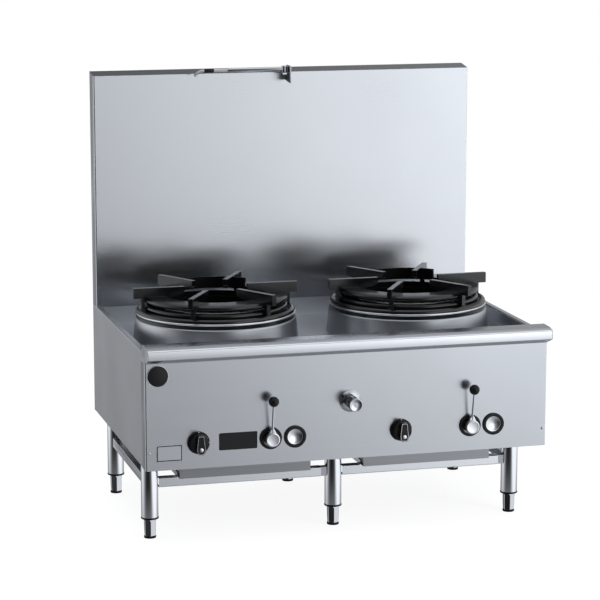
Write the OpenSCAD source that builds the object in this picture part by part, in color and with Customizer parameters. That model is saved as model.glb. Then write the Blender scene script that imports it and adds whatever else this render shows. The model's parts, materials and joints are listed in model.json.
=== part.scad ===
// Two-hole stock pot steamer: a free-standing gas range with a tall splashback.
// Millimetres. +X is to the right, +Y to the back, +Z up, and the floor is z = 0.
// Depths called "behind the panel" are measured from the front panel's face.

/* [Body] */
// Width across the side panels
body_w = 1200; // [1160:10:1400]
// Depth from the front panel's face to the back
body_d = 800; // [790:5:900]
// Height of the body's underside above the floor
body_z = 244; // [220:2:320]
// Height of the side panels
side_h = 339; // [325:1:420]
// Depth of the deck below the tops of the side panels
deck_drop = 53; // [45:1:60]
// Thickness of the sheet metal
sheet = 1.5; // [1:0.1:2]
// Outer radius of the sheet metal bends
bend_r = 4; // [2.5:0.5:6]
// Width of the side panels' top hems and of the inner flanges
hem_w = 20; // [15:1:24]
// Depth of the front panel's side returns
return_d = 52; // [44:1:70]

/* [Front rail] */
// Reach of the rail's nose in front of the panel
rail_reach = 45; // [30:1:55]
// Height of the rail above the side panels
rail_rise = 21; // [10:1:30]
// Height of the rail's face below its top
rail_face = 28; // [24:1:34]
// Height of the front panel's top edge below the side panels
rail_drop = 30; // [24:1:34]
// Depth of the rail's top behind the panel
rail_back = 30; // [20:1:40]
// Radius of the rail's nose
nose_r = 10; // [6:1:12]

/* [Splashback] */
// Height of the splashback above the side panels, at its front
splash_h = 713; // [400:1:900]
// Thickness of the splashback
splash_t = 64; // [50:1:80]
// Rise of the splashback's top strip towards the back
splash_slope = 10; // [4:1:20]
// Distance of the two inner channels from the middle
channel_x = 300; // [200:10:450]

/* [Burners] */
// Distance of the burner centres behind the panel
burner_y = 406; // [385:1:412]
// Radius of the collar at the deck
collar_r = 248; // [242:1:258]
// Radius of the collar at its top
collar_top_r = 239.5; // [238:0.5:241]
// Height of the collar
collar_h = 76; // [60:1:100]
// Outer radius of the burner ring
ring_r = 240; // [238:0.5:243]
// Diameter of the burner ring's round edge
ring_bead = 28; // [24:1:32]
// Inner radius of the burner ring and of the riser ring
ring_in_r = 190; // [180:1:192]
// Outer radius of the riser ring
riser_r = 215; // [212:0.5:216]
// Height of the riser ring
riser_h = 18; // [12:1:18]

/* [Trivet] */
// Outer radius of the trivet's ring
trivet_r = 216; // [214:0.5:220]
// Width of the trivet's ring
trivet_w = 20; // [16:1:26]
// Height of the trivet's ring
trivet_h = 18; // [14:1:20]
// Height of the trivet's feet under its ring
trivet_foot_h = 19; // [14:1:20]
// Inner radius of the flat lip inside the trivet's ring
lip_in_r = 150; // [130:1:165]
// Thickness of the flat lip
lip_t = 8; // [5:1:12]
// Number of arms
arm_count = 6; // [3:1:8]
// Radius of the arms' tips
arm_r = 250; // [240:1:258]
// Radius at which the arms begin
arm_in_r = 96; // [85:1:110]
// Width of an arm
arm_w = 15.5; // [12:0.5:20]
// Depth of an arm at its tip
arm_h = 31; // [26:1:40]
// Depth of an arm at its inner end
arm_in_h = 14; // [10:1:20]
// Height of the arms' tops above the trivet's ring
arm_rise = 27; // [24:1:30]
// Radius of the web that joins the two rear arms
web_r = 149; // [135:1:165]

/* [Burner head] */
// Number of burner rings
head_rings = 3; // [2:1:4]
// Middle radius of the inner burner ring
head_r = 34; // [32:1:38]
// Distance between neighbouring burner rings
head_pitch = 30; // [24:1:34]
// Width of a burner ring
head_w = 16; // [12:1:20]
// Height of a burner ring
head_h = 24; // [16:1:30]
// Height of the burner rings' tops above the deck
head_rise = 80; // [70:1:84]
// Radius of a flame port
port_r = 2; // [1.2:0.1:3]
// Number of flame ports in the inner ring, and added in each next one
port_count = 8; // [4:1:10]
// Outer radius of the mixer tubes
mixer_r = 24; // [18:1:28]

/* [Controls] */
// Height of the controls' line above the body's underside
control_z = 75; // [65:1:100]
// Sideways offset of the knobs from the burner centres
knob_x = -147; // [-155:1:-135]
// Sideways offset of the levers from the burner centres
lever_x = 64; // [56:1:72]
// Sideways offset of the sight ports from the burner centres
port_x = 136; // [132:1:144]
// Outer radius of the round bezels
bezel_r = 32.5; // [28:0.5:34]
// Inner radius of the lever and sight port bezels
bezel_in_r = 23; // [22.5:0.5:25]
// Thickness of the round bezels
bezel_t = 5; // [3:0.5:6]
// Radius of the knobs
knob_r = 28; // [22:0.5:30]
// Height of the knobs' round base
knob_base_h = 17; // [12:1:22]
// Height of the knobs' grips
knob_grip_h = 16; // [10:1:20]
// Radius of the knob spindles
spindle_r = 5; // [4:0.5:6]
// Radius of the lever bosses
boss_r = 21; // [18:0.5:22]
// Reach of the lever bosses in front of the panel
boss_reach = 28; // [24:1:34]
// Length of the levers from the boss to the middle of the ball
lever_l = 114; // [90:1:125]
// Radius of the lever rods
rod_r = 2.8; // [2:0.1:4]
// Radius of the lever balls
ball_r = 15; // [12:0.5:17]
// Reach of the lever balls in front of the panel
ball_reach = 38; // [34:1:42]
// Running clearance between a spindle and its bore
spindle_gap = 0.05; // [0.02:0.01:0.1]

/* [Water tap] */
// Height of the tap above the body's underside
tap_z = 170; // [160:1:190]
// Radius of the tap's handle
tap_r = 20; // [16:0.5:24]
// Reach of the tap's handle in front of the panel
tap_reach = 60; // [56:1:70]
// Thickness of the tap's flange
tap_flange_t = 8; // [5:0.5:12]
// Outer radius of the water pipes
pipe_r = 9.5; // [7:0.5:11]
// Sideways place of the water inlet
water_x = 400; // [380:5:410]

/* [Swing arm] */
// Distance of the arm's pivot in front of the splashback
arm_pivot_y = 36; // [30:1:46]
// Height of the arm above the splashback's front edge
arm_z = 12; // [8:1:18]
// Length of the arm's thick tube
tube_l = 180; // [150:1:220]
// Radius of the arm's thick tube
tube_r = 7; // [5.5:0.5:8]
// Length of the arm's thin tube
neck_l = 43; // [25:1:60]
// Radius of the arm's thin tube
neck_r = 5.5; // [4.5:0.5:6]
// Length of the black grip
grip_l = 30; // [25:1:45]
// Radius of the black grip
grip_r = 6.5; // [5.5:0.5:8]
// Radius of the spout's bend
spout_bend = 34; // [25:1:45]
// Radius of the spout
spout_r = 4.5; // [3:0.5:5]

/* [Legs] */
// Distance of the outer legs' middles from the body's sides
leg_inset = 46.3; // [45:0.1:60]
// Distance of the front legs behind the panel
leg_front = 178; // [170:1:200]
// Distance of the rear legs from the back
leg_rear = 98; // [90:1:130]
// Radius of the leg tubes
leg_r = 25; // [22:0.5:26]
// Height of the feet up to the leg tubes
foot_h = 58; // [50:1:66]
// Width of the hexagonal feet across their corners
foot_w = 39; // [34:1:42]
// Radius of the feet's stems
stem_r = 6; // [5:0.5:8]
// Travel of the feet
foot_travel = 30; // [20:1:35]

/* [Under the body] */
// Height of the leg rails' undersides above the floor
rail_z = 151; // [140:1:160]
// Height of the leg rails
rail_h = 28; // [20:1:36]
// Depth of the leg rails
rail_d = 26; // [20:1:30]
// Width of a drip tray
tray_w = 392; // [360:2:410]
// Length of a drip tray
tray_l = 500; // [440:5:510]
// Height of a drip tray
tray_h = 56; // [30:1:58]
// Distance of the trays' fronts behind the panel
tray_y = 134; // [120:1:150]

/* [Hidden] */
$fn = 64;

// Fixings
screw_r = 4;
screw_inset = 11;
weld = 1;

// Planes of the body. The origin is the middle of the footprint, which reaches
// from the tap's handle in front to the heads of the screws on the back.
front_y = (tap_reach - body_d - screw_r) / 2;
back_y = front_y + body_d;
half_w = body_w / 2;
side_top = body_z + side_h;
deck_z = side_top - deck_drop;
rail_top = side_top + rail_rise;
panel_top = side_top - rail_drop;
splash_y = back_y - splash_t;
splash_top = side_top + splash_h;
control_line = body_z + control_z;

// Burner heights, from the deck upwards
collar_top = deck_z + collar_h;
land = 0.5;
ring_top = collar_top + ring_bead - 2 * land;
shelf_t = 16;
shelf_z = collar_top + 6;
shelf_top = shelf_z + shelf_t;
collar_mouth_r = ring_r - ring_bead / 2;
ring_gap = 2;
trivet_z = ring_top + trivet_foot_h;
trivet_top = trivet_z + trivet_h;
arm_top = trivet_top + arm_rise;
head_top = deck_z + head_rise;
head_out_r = head_r + (head_rings - 1) * head_pitch + head_w / 2;
bearer_z = deck_z + sheet;
bearer_top = deck_z + 6;
burners = [-body_w / 4, body_w / 4];
burner_at = front_y + burner_y;

// Places of the legs
leg_x = half_w - leg_inset;
leg_xs = [-leg_x, 0, leg_x];
leg_front_y = front_y + leg_front;
leg_rear_y = back_y - leg_rear;
leg_wall = 1.5;
leg_clear = 0.4;
plug_h = 32;
plug_gap = 0.1;
ring_h = 5;
ring_out = 1.2;
foot_gap = 0.3;
frame_w = 56;
frame_h = 38;
frame_z = body_z + sheet;

// Under the body
bay_x = leg_x / 2;
rail_top_z = rail_z + rail_h;
runner_h = 16;
runner_w = 15;
tray_z = rail_top_z + sheet;
tray_gap = 1.5;
bracket_w = 15;

// Gas and water parts behind the panel. Each inlet pipe has a free end below its nut.
manifold_w = 30;
valve_d = 55.5;
valve_back = front_y + valve_d;
valve_half = 24;
stem_back = 30;
valve_y = front_y + stem_back;
bore_d = 34;
bore_back = front_y + bore_d;
jet_rise = 44;
jet_z = control_line + jet_rise;
mixer_back = 128;
mixer_y = front_y + mixer_back;
mixer_wall = 3;
pilot_r = 3;
pilot_x = -head_out_r - 10;
pilot_y = burner_at - 6;
inlet_r = 13.2;
inlet_z = body_z - 30;
inlet_inset = 130;
inlet_x = half_w - inlet_inset;
inlet_free = 50;
inlet_bore = 60;
nut_t = 14;
nut_wall = 6;
service_y = back_y - splash_t / 2;
water_inlet_r = 10.5;
stem = spindle_r + 1;

// Swing arm
pivot_x = -10;
pivot_y = splash_y - arm_pivot_y;
tube_z = splash_top + arm_z;
barrel_r = 9;
barrel_h = 20;
pin_r = 4;
pin_l = 17;
bracket_t = 6;

// Turns a folded path into points moved to its left by d, with each inner corner
// rounded to the radius r in its own list. It has steps points on a corner.
function left_of(u) = [-u.y, u.x];
function unit(v) = v / norm(v);
function turned(u, a) = [u.x * cos(a) - u.y * sin(a), u.x * sin(a) + u.y * cos(a)];
function corner(p, q, s, r, d, steps = 6) =
    let (u = unit(q - p), v = unit(s - q))
    let (a = atan2(u.x * v.y - u.y * v.x, u * v), side = sign(a))
    let (centre = q - u * r * tan(abs(a) / 2) + left_of(u) * r * side)
    [for (i = [0:steps]) centre - left_of(turned(u, a * i / steps)) * (r - d * side) * side];
function folded(path, r, d) = [
    path[0] + left_of(unit(path[1] - path[0])) * d,
    for (i = [1:len(path) - 2]) each corner(path[i - 1], path[i], path[i + 1], r[i], d),
    path[len(path) - 1] + left_of(unit(path[len(path) - 1] - path[len(path) - 2])) * d
];
function backwards(a) = [for (i = [len(a) - 1:-1:0]) a[i]];
// The section of a folded sheet: the path's own line and the line t to its left
module fold(path, r, t) {
    polygon(concat(folded(path, r, 0), backwards(folded(path, r, t))));
}
function same(n, r) = [for (i = [0:n]) r];

// A box between two corners
module block(low, high) {
    translate(low)
        cube(high - low);
}
// A flat outline drawn in Y and Z, carried along X
module along_x(x0, x1) {
    translate([x0, 0, 0])
        rotate([90, 0, 90])
            linear_extrude(x1 - x0)
                children();
}
// A flat outline drawn in X and Z, carried along Y
module along_y(y0, y1) {
    translate([0, y1, 0])
        rotate([90, 0, 0])
            linear_extrude(y1 - y0)
                children();
}
// A rod that starts at p and runs forward, out of the panel
module forward(p, r, l) {
    translate(p)
        rotate([90, 0, 0])
            cylinder(r = r, h = l);
}
// A rod that starts at p and runs to the back
module backward(p, r, l) {
    translate(p)
        rotate([-90, 0, 0])
            cylinder(r = r, h = l);
}
// A rod along X
module across(p, r, l) {
    translate(p)
        rotate([0, 90, 0])
            cylinder(r = r, h = l);
}
module upward(p, r, l) {
    translate(p)
        cylinder(r = r, h = l);
}
// A six-sided nut round an upright pipe
module nut(p, r) {
    translate(p)
        cylinder(r = r + nut_wall, h = nut_t, $fn = 6);
}
// The shape for the other side
module other_side() {
    mirror([1, 0, 0])
        children();
}

// Sheet metal of the body
module side_panel() {
    path = [
        [half_w - hem_w, body_z], [half_w, body_z], [half_w, side_top],
        [half_w - hem_w, side_top], [half_w - hem_w, deck_z]
    ];
    outer = [path[0], path[1], path[2], [half_w - hem_w, side_top]];
    inner = [[half_w - bend_r, side_top], [half_w - hem_w, side_top], [half_w - hem_w, deck_z]];
    along_y(front_y + return_d, splash_y)
        fold(path, same(4, bend_r), sheet);
    along_y(splash_y, back_y - sheet)
        fold(outer, same(3, bend_r), sheet);
    along_y(front_y + rail_back, front_y + return_d)
        fold(inner, same(2, bend_r), sheet);
}
module left_side_panel() {
    color("#a3a7ad")
        other_side()
            side_panel();
}
module right_side_panel() {
    color("#b4b8be")
        side_panel();
}

module front_panel() {
    path = [
        [-half_w, front_y + return_d], [-half_w, front_y],
        [half_w, front_y], [half_w, front_y + return_d]
    ];
    color("#aeb2b8")
        difference() {
            union() {
                translate([0, 0, body_z])
                    linear_extrude(panel_top - body_z)
                        fold(path, same(3, bend_r), sheet);
                block([-half_w + bend_r, front_y + sheet / 2, body_z],
                      [half_w - bend_r, front_y + hem_w, body_z + sheet]);
            }
            for (x = burners) {
                panel_hole(x + knob_x, control_line, spindle_r + 4);
                panel_hole(x + lever_x, control_line, boss_r + 1);
                panel_hole(x + port_x, control_line, bezel_in_r);
            }
            panel_hole(0, body_z + tap_z, 14);
        }
}
module panel_hole(x, z, r) {
    forward([x, front_y + 3 * sheet, z], r, 5 * sheet);
}

// The bullnose rail: a hollow folded section with closed ends
module front_rail() {
    path = [
        [front_y + rail_back, deck_z], [front_y + rail_back, rail_top],
        [front_y - rail_reach, rail_top], [front_y - rail_reach, rail_top - rail_face],
        [front_y, panel_top]
    ];
    radii = [0, bend_r / 2, nose_r, bend_r, 0];
    cheek = concat(
        folded(path, radii, 0),
        [[front_y + return_d, panel_top], [front_y + return_d, side_top], [front_y + rail_back, rail_top]]
    );
    color("#c6cad0") {
        along_x(-half_w + sheet, half_w - sheet)
            fold(path, radii, sheet);
        for (s = [0, 1])
            mirror([s, 0, 0])
                along_x(half_w - sheet, half_w)
                    polygon([for (i = [1:len(cheek) - 1]) cheek[i]]);
    }
}

module deck_pan() {
    color("#8d9197")
        difference() {
            union() {
                block([-half_w + hem_w, front_y + rail_back, deck_z - sheet],
                      [half_w - hem_w, splash_y + sheet, deck_z]);
                block([-half_w + hem_w, splash_y, deck_z - sheet],
                      [half_w - hem_w, splash_y + sheet, side_top]);
            }
            for (x = burners)
                upward([x, burner_at, deck_z - 2 * sheet], collar_mouth_r, 3 * sheet);
        }
}

module rear_panel() {
    color("#9a9ea4")
        block([-half_w, back_y - sheet, body_z], [half_w, back_y, side_top]);
}

// Splashback: a folded skin with a sloping top strip, and a flat cover behind it
module splash_outline(d) {
    path = [[-half_w, back_y], [-half_w, splash_y], [half_w, splash_y], [half_w, back_y]];
    polygon(folded(path, same(3, bend_r), d));
}
module under_slope(drop) {
    along_x(-half_w, half_w)
        polygon([
            [splash_y, side_top], [splash_y, splash_top - drop],
            [back_y, splash_top + splash_slope - drop], [back_y, side_top]
        ]);
}
module splashback_skin() {
    color("#c3c7cd")
        difference() {
            intersection() {
                translate([0, 0, side_top])
                    linear_extrude(splash_h + splash_slope)
                        splash_outline(0);
                under_slope(0);
            }
            intersection() {
                translate([0, 0, side_top - 1])
                    linear_extrude(splash_h + splash_slope + 1)
                        splash_outline(sheet);
                union() {
                    under_slope(sheet);
                    block([-half_w, splash_y, side_top - 1], [half_w, back_y, side_top + 1]);
                }
            }
            block([-half_w + sheet, back_y - sheet, side_top - 1],
                  [half_w - sheet, back_y + 1, splash_top + splash_slope - sheet]);
        }
}
module splashback_back() {
    color("#9a9ea4")
        block([-half_w + sheet, back_y - sheet, side_top],
              [half_w - sheet, back_y, splash_top + splash_slope - 2 * sheet]);
}
// Upright channels that hold the skin and the cover apart
module splashback_frame() {
    foot_w = 20;
    web = 40;
    color("#8d9197")
        for (s = [-1, 1])
            translate([s * channel_x - web / 2, 0, side_top])
                linear_extrude(splash_h - bend_r)
                    fold([
                        [-foot_w, splash_y + sheet], [0, splash_y + sheet],
                        [0, back_y - 2 * sheet], [web, back_y - 2 * sheet],
                        [web, splash_y + sheet], [web + foot_w, splash_y + sheet]
                    ], same(5, 2 * sheet), sheet);
}

// Two hollow bars across the body's underside, with a spigot for each leg
module leg_frame() {
    color("#6f7378")
        for (y = [leg_front_y, leg_rear_y]) {
            difference() {
                block([-half_w + hem_w, y - frame_w / 2, frame_z],
                      [half_w - hem_w, y + frame_w / 2, frame_z + frame_h]);
                block([-half_w, y - frame_w / 2 + sheet, frame_z + sheet],
                      [half_w, y + frame_w / 2 - sheet, frame_z + frame_h - sheet]);
            }
            for (x = leg_xs)
                upward([x, y, frame_z - plug_h], leg_r - leg_wall - leg_clear, plug_h + sheet);
        }
}

// Burners
module collar(x) {
    inner = collar_mouth_r - ring_gap;
    path = [
        [inner, deck_z], [collar_r, deck_z],
        [collar_top_r, collar_top], [inner, collar_top]
    ];
    color("#b9bdc3")
        translate([x, burner_at, 0])
            rotate_extrude($fn = 96)
                fold(path, [0, 2, 8, 0], sheet);
}
module left_collar() {
    collar(burners[0]);
}
module right_collar() {
    collar(burners[1]);
}

// A flat ring with a half-round outer edge
module round_edge(r_in, r_out, z, h) {
    translate([r_in, z])
        square([r_out - h / 2 - r_in, h]);
    translate([r_out - h / 2, z + h / 2])
        circle(d = h);
}
module burner_ring(x) {
    spigot_w = 8;
    spigot_h = 10;
    spigot_r = collar_mouth_r - 2 * ring_gap;
    color("#1d1e20")
        translate([x, burner_at, 0])
            rotate_extrude($fn = 96) {
                intersection() {
                    translate([collar_mouth_r, collar_top - land + ring_bead / 2])
                        circle(d = ring_bead);
                    translate([0, collar_top])
                        square([ring_r, ring_bead - 2 * land]);
                }
                translate([ring_in_r, shelf_z])
                    square([collar_mouth_r - ring_in_r, shelf_t]);
                translate([spigot_r - spigot_w, collar_top - spigot_h])
                    square([spigot_w, spigot_h + shelf_t / 2]);
            }
}
module left_burner_ring() {
    burner_ring(burners[0]);
}
module right_burner_ring() {
    burner_ring(burners[1]);
}

module riser_ring(x) {
    notch = [8, 12, 4];
    color("#1d1e20")
        translate([x, burner_at, 0])
            difference() {
                rotate_extrude($fn = 96)
                    round_edge(ring_in_r, riser_r, shelf_top, riser_h);
                for (i = [0:arm_count - 1])
                    rotate(i * 360 / arm_count + 180 / arm_count)
                        block([ring_in_r - 1, -notch.y / 2, shelf_top + riser_h - notch.z],
                              [ring_in_r + notch.x, notch.y / 2, shelf_top + riser_h + 1]);
            }
}
module left_riser_ring() {
    riser_ring(burners[0]);
}
module right_riser_ring() {
    riser_ring(burners[1]);
}

// One casting: a ring on feet, and arms that leave the middle open. Their undersides
// are rounded up to their inner ends. The ring has a flat lip inside, and a low web
// joins the two rear arms.
arm_belly = 60;
arm_steps = 8;
function arm_edge(a) = [
    arm_in_r + arm_belly * (1 - cos(a)),
    arm_top - arm_in_h - (arm_h - arm_in_h) * sin(a)
];
module trivet_arm() {
    foot_w = 15;
    foot_out = 11;
    rest_gap = 0.03;
    translate([0, arm_w / 2, 0])
        rotate([90, 0, 0])
            linear_extrude(arm_w)
                polygon(concat(
                    [[arm_in_r, arm_top], [arm_r, arm_top], [arm_r, arm_top - arm_h]],
                    [for (i = [arm_steps:-1:0]) arm_edge(90 * i / arm_steps)]
                ));
    block([trivet_r - trivet_w / 2, -foot_w / 2, trivet_z + weld],
          [trivet_r + foot_out, foot_w / 2, arm_top - arm_h + weld]);
    block([trivet_r + weld / 2, -foot_w / 2, ring_top + rest_gap],
          [trivet_r + foot_out, foot_w / 2, trivet_z + weld]);
}
module trivet(x) {
    web_t = 6;
    web_h = 12;
    step = 360 / arm_count;
    color("#17181a")
        translate([x, burner_at, 0]) {
            rotate_extrude($fn = 96) {
                round_edge(trivet_r - trivet_w, trivet_r, trivet_z, trivet_h);
                translate([lip_in_r, trivet_top - lip_t])
                    square([trivet_r - trivet_w + weld - lip_in_r, lip_t]);
            }
            rotate(90 - step / 2)
                rotate_extrude(angle = step)
                    translate([web_r - web_t / 2, arm_top - web_h - weld])
                        square([web_t, web_h]);
            for (i = [0:arm_count - 1])
                rotate(i * 360 / arm_count)
                    trivet_arm();
        }
}
module left_trivet() {
    trivet(burners[0]);
}
module right_trivet() {
    trivet(burners[1]);
}

// Ring burners: ported rings on a cross of channels, over an inlet boss
module burner_head(x) {
    channel_w = 22;
    channel_r = head_out_r - head_w / 2;
    boss_top = head_top - head_h / 2;
    boss_wall = 6;
    boss_roof = 8;
    color("#3a3b3d")
        translate([x, burner_at, 0])
            difference() {
                union() {
                    for (i = [0:head_rings - 1])
                        rotate_extrude()
                            translate([head_r + i * head_pitch - head_w / 2, head_top - head_h])
                                square([head_w, head_h]);
                    for (a = [0, 90])
                        rotate(a)
                            block([-channel_r, -channel_w / 2, head_top - head_h + weld],
                                  [channel_r, channel_w / 2, head_top - head_h / 3]);
                    upward([0, 0, bearer_top], mixer_r + boss_wall, boss_top - bearer_top);
                }
                for (i = [0:head_rings - 1])
                    for (k = [0:(i + 1) * port_count - 1])
                        rotate((k + 0.5) * 360 / ((i + 1) * port_count))
                            upward([head_r + i * head_pitch, 0, head_top - head_h / 3], port_r, head_h);
                upward([0, 0, deck_z], mixer_r, boss_top - deck_z - boss_roof);
            }
}
module burner_heads() {
    for (x = burners)
        burner_head(x);
}
// Flat bars that lie on the deck inside each collar and carry the burner head
module burner_bearers() {
    bearer_w = 76;
    bearer_r = collar_mouth_r - ring_gap - 4;
    tongue = 7;
    color("#6f7378")
        for (x = burners)
            translate([x, burner_at, 0])
                difference() {
                    union() {
                        block([-bearer_r, -bearer_w / 2, bearer_z], [bearer_r, bearer_w / 2, bearer_top]);
                        for (s = [-1, 1])
                            translate([s * (collar_mouth_r - ring_gap), 0, 0])
                                block([-tongue, -bearer_w / 4, bearer_z], [tongue, bearer_w / 4, bearer_top]);
                    }
                    upward([0, 0, deck_z], mixer_r + 0.5, collar_h / 2);
                    upward([pilot_x, pilot_y - burner_at, deck_z], pilot_r + 0.5, collar_h / 2);
                }
}
// Mixer tubes: a flared mouth at the front, then an elbow up to the burner head
module mixer_tubes() {
    tube = mixer_r - 0.2;
    bore = mixer_r - mixer_wall;
    elbow_r = 48;
    elbow_y = burner_at - elbow_r;
    flare = [8, 10];
    top = head_top - head_h / 2 - 9;
    color("#4a4b4d")
        for (x = burners)
            translate([x, 0, 0])
                difference() {
                    union() {
                        upward([0, burner_at, jet_z + elbow_r], tube, top - jet_z - elbow_r);
                        translate([0, elbow_y, jet_z + elbow_r])
                            rotate([0, 90, 0])
                                rotate_extrude(angle = 90)
                                    translate([elbow_r, 0])
                                        circle(r = tube);
                        backward([0, mixer_y, jet_z], tube, elbow_y - mixer_y);
                        backward([0, mixer_y, jet_z], tube + flare.x, flare.y);
                    }
                    upward([0, burner_at, jet_z + elbow_r - 1], bore, top - jet_z);
                    backward([0, mixer_y - 1, jet_z], bore, elbow_y - mixer_y + 1.01);
                }
}
// Feed pipes from the lever valves up to a brass jet in front of each mixer
module injectors() {
    feed_r = 7;
    elbow_r = 9;
    jet_r = 5;
    jet_l = 22;
    jet_y = mixer_y - 14;
    valve_top = control_line + valve_half;
    color("#b08d3c")
        for (x = burners)
            translate([x, 0, 0]) {
                upward([lever_x, valve_y, valve_top], feed_r, jet_z - valve_top);
                translate([lever_x, valve_y, jet_z])
                    sphere(r = elbow_r);
                backward([lever_x, valve_y, jet_z], feed_r, jet_y - valve_y);
                translate([lever_x, jet_y, jet_z])
                    sphere(r = elbow_r);
                across([0, jet_y, jet_z], feed_r, lever_x);
                translate([0, jet_y, jet_z])
                    sphere(r = elbow_r);
                backward([0, jet_y, jet_z], jet_r, jet_l);
            }
}
// Pilot tubes from the gas valves, with a small hood beside each burner head
module pilot_burners() {
    run_z = deck_z - 40;
    valve_top = control_line + valve_half;
    hood_r = 7;
    hood_h = 18;
    hood_z = head_top - 16;
    color("#a8743c")
        for (x = burners)
            translate([x, 0, 0]) {
                upward([knob_x, valve_y, valve_top], pilot_r, run_z - valve_top);
                translate([knob_x, valve_y, run_z])
                    sphere(r = pilot_r);
                backward([knob_x, valve_y, run_z], pilot_r, pilot_y - valve_y);
                translate([knob_x, pilot_y, run_z])
                    sphere(r = pilot_r);
                across([knob_x, pilot_y, run_z], pilot_r, pilot_x - knob_x);
                translate([pilot_x, pilot_y, run_z])
                    sphere(r = pilot_r);
                upward([pilot_x, pilot_y, run_z], pilot_r, hood_z - run_z + 1);
                upward([pilot_x, pilot_y, hood_z], hood_r, hood_h);
            }
}

// Gas supply behind the panel
module gas_manifold() {
    end_x = burners[0] + knob_x - 30;
    run_y = valve_back + manifold_w / 2;
    color("#8a8d92")
        difference() {
            union() {
                block([end_x, valve_back, control_line - manifold_w / 2],
                      [inlet_x + manifold_w / 2, valve_back + manifold_w, control_line + manifold_w / 2]);
                backward([inlet_x, run_y, control_line], inlet_r, service_y - run_y);
                translate([inlet_x, service_y, control_line])
                    sphere(r = inlet_r);
                upward([inlet_x, service_y, inlet_z], inlet_r, control_line - inlet_z);
                nut([inlet_x, service_y, inlet_z + inlet_free], inlet_r);
            }
            upward([inlet_x, service_y, inlet_z - 1], inlet_r - 4, inlet_bore);
        }
}
module gas_valves() {
    nose = 10;
    nose_wall = 8;
    body_y = front_y + sheet + nose;
    color("#b08d3c")
        for (x = burners)
            translate([x + knob_x, 0, control_line])
                difference() {
                    union() {
                        block([-valve_half, body_y, -valve_half], [valve_half, valve_back, valve_half]);
                        forward([0, body_y + weld, 0], spindle_r + nose_wall, nose + weld);
                    }
                    backward([0, front_y, 0], spindle_r + spindle_gap, bore_back - front_y);
                }
}
module lever_valves() {
    behind = 4;
    color("#b08d3c")
        for (x = burners)
            translate([x + lever_x, 0, control_line])
                difference() {
                    block([-valve_half, front_y + sheet + behind, -valve_half], [valve_half, valve_back, valve_half]);
                    backward([0, front_y, 0], stem + spindle_gap, bore_back - front_y);
                }
}

// Knobs
knob_roof = 3;
module spindle(x) {
    color("#8a8d92")
        forward([x + knob_x, valve_y, control_line], spindle_r,
                valve_y - front_y + bezel_t + knob_base_h - knob_roof);
}
module left_spindle() {
    spindle(burners[0]);
}
module right_spindle() {
    spindle(burners[1]);
}
module knob(x) {
    grip = [
        [-8.5, 0.82], [-4, 0.98], [4, 0.98], [8.5, 0.82], [13, -0.5],
        [11, -0.8], [4, -0.98], [-4, -0.98], [-11, -0.8], [-13, -0.5]
    ];
    skirt_gap = 0.5;
    color("#141415")
        translate([x + knob_x, front_y - bezel_t, control_line])
            difference() {
                union() {
                    forward([0, -skirt_gap, 0], knob_r, knob_base_h - skirt_gap);
                    along_y(-knob_base_h - knob_grip_h, -knob_base_h + weld)
                        polygon([for (p = grip) [p.x, p.y * knob_r]]);
                }
                forward([0, 1, 0], spindle_r + spindle_gap, knob_base_h - knob_roof + 1);
            }
}
module left_knob() {
    knob(burners[0]);
}
module right_knob() {
    knob(burners[1]);
}
module knob_bezels() {
    color("#141415")
        for (x = burners)
            difference() {
                forward([x + knob_x, front_y, control_line], bezel_r, bezel_t);
                forward([x + knob_x, front_y + 1, control_line], spindle_r + 4, bezel_t + 2);
            }
}

// Levers. The rod leans out from the boss to the ball.
rod_y = front_y - boss_reach + 8;
rod_z = boss_r - 4;
rod = [0, front_y - ball_reach - rod_y, lever_l - rod_z];
module lever_rod(r) {
    translate([0, rod_y, rod_z])
        rotate([atan2(-rod.y, rod.z), 0, 0])
            cylinder(r = r, h = norm(rod) - ball_r / 2);
}
module lever(x) {
    color("#c6cad0")
        translate([x + lever_x, 0, control_line]) {
            forward([0, front_y, 0], boss_r, boss_reach);
            forward([0, valve_y, 0], stem, valve_y - front_y + weld);
            lever_rod(rod_r);
        }
}
module left_lever() {
    lever(burners[0]);
}
module right_lever() {
    lever(burners[1]);
}
module lever_ball(x) {
    color("#101011")
        translate([x + lever_x, 0, control_line])
            difference() {
                translate([0, front_y - ball_reach, lever_l])
                    sphere(r = ball_r);
                lever_rod(rod_r + spindle_gap);
            }
}
module left_lever_ball() {
    lever_ball(burners[0]);
}
module right_lever_ball() {
    lever_ball(burners[1]);
}
// Rings round the lever bosses, open at the top, and closed ones round the sight ports
module round_bezels() {
    slot = 10;
    color("#141415")
        for (x = burners) {
            difference() {
                forward([x + lever_x, front_y, control_line], bezel_r, bezel_t);
                forward([x + lever_x, front_y + 1, control_line], bezel_in_r, bezel_t + 2);
                block([x + lever_x - slot / 2, front_y - bezel_t - 1, control_line],
                      [x + lever_x + slot / 2, front_y + 1, control_line + bezel_r + 1]);
            }
            difference() {
                forward([x + port_x, front_y, control_line], bezel_r, bezel_t);
                forward([x + port_x, front_y + 1, control_line], bezel_in_r, bezel_t + 2);
            }
        }
}
// Dished covers of the sight ports
module sight_covers() {
    dish = 70;
    dish_depth = 3.4;
    cover_t = 6;
    cover_y = front_y + 4;
    color("#c6cad0")
        for (x = burners)
            difference() {
                forward([x + port_x, cover_y, control_line], bezel_in_r - 0.2, cover_t);
                translate([x + port_x, cover_y - cover_t - dish + dish_depth, control_line])
                    sphere(r = dish, $fn = 96);
            }
}

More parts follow.
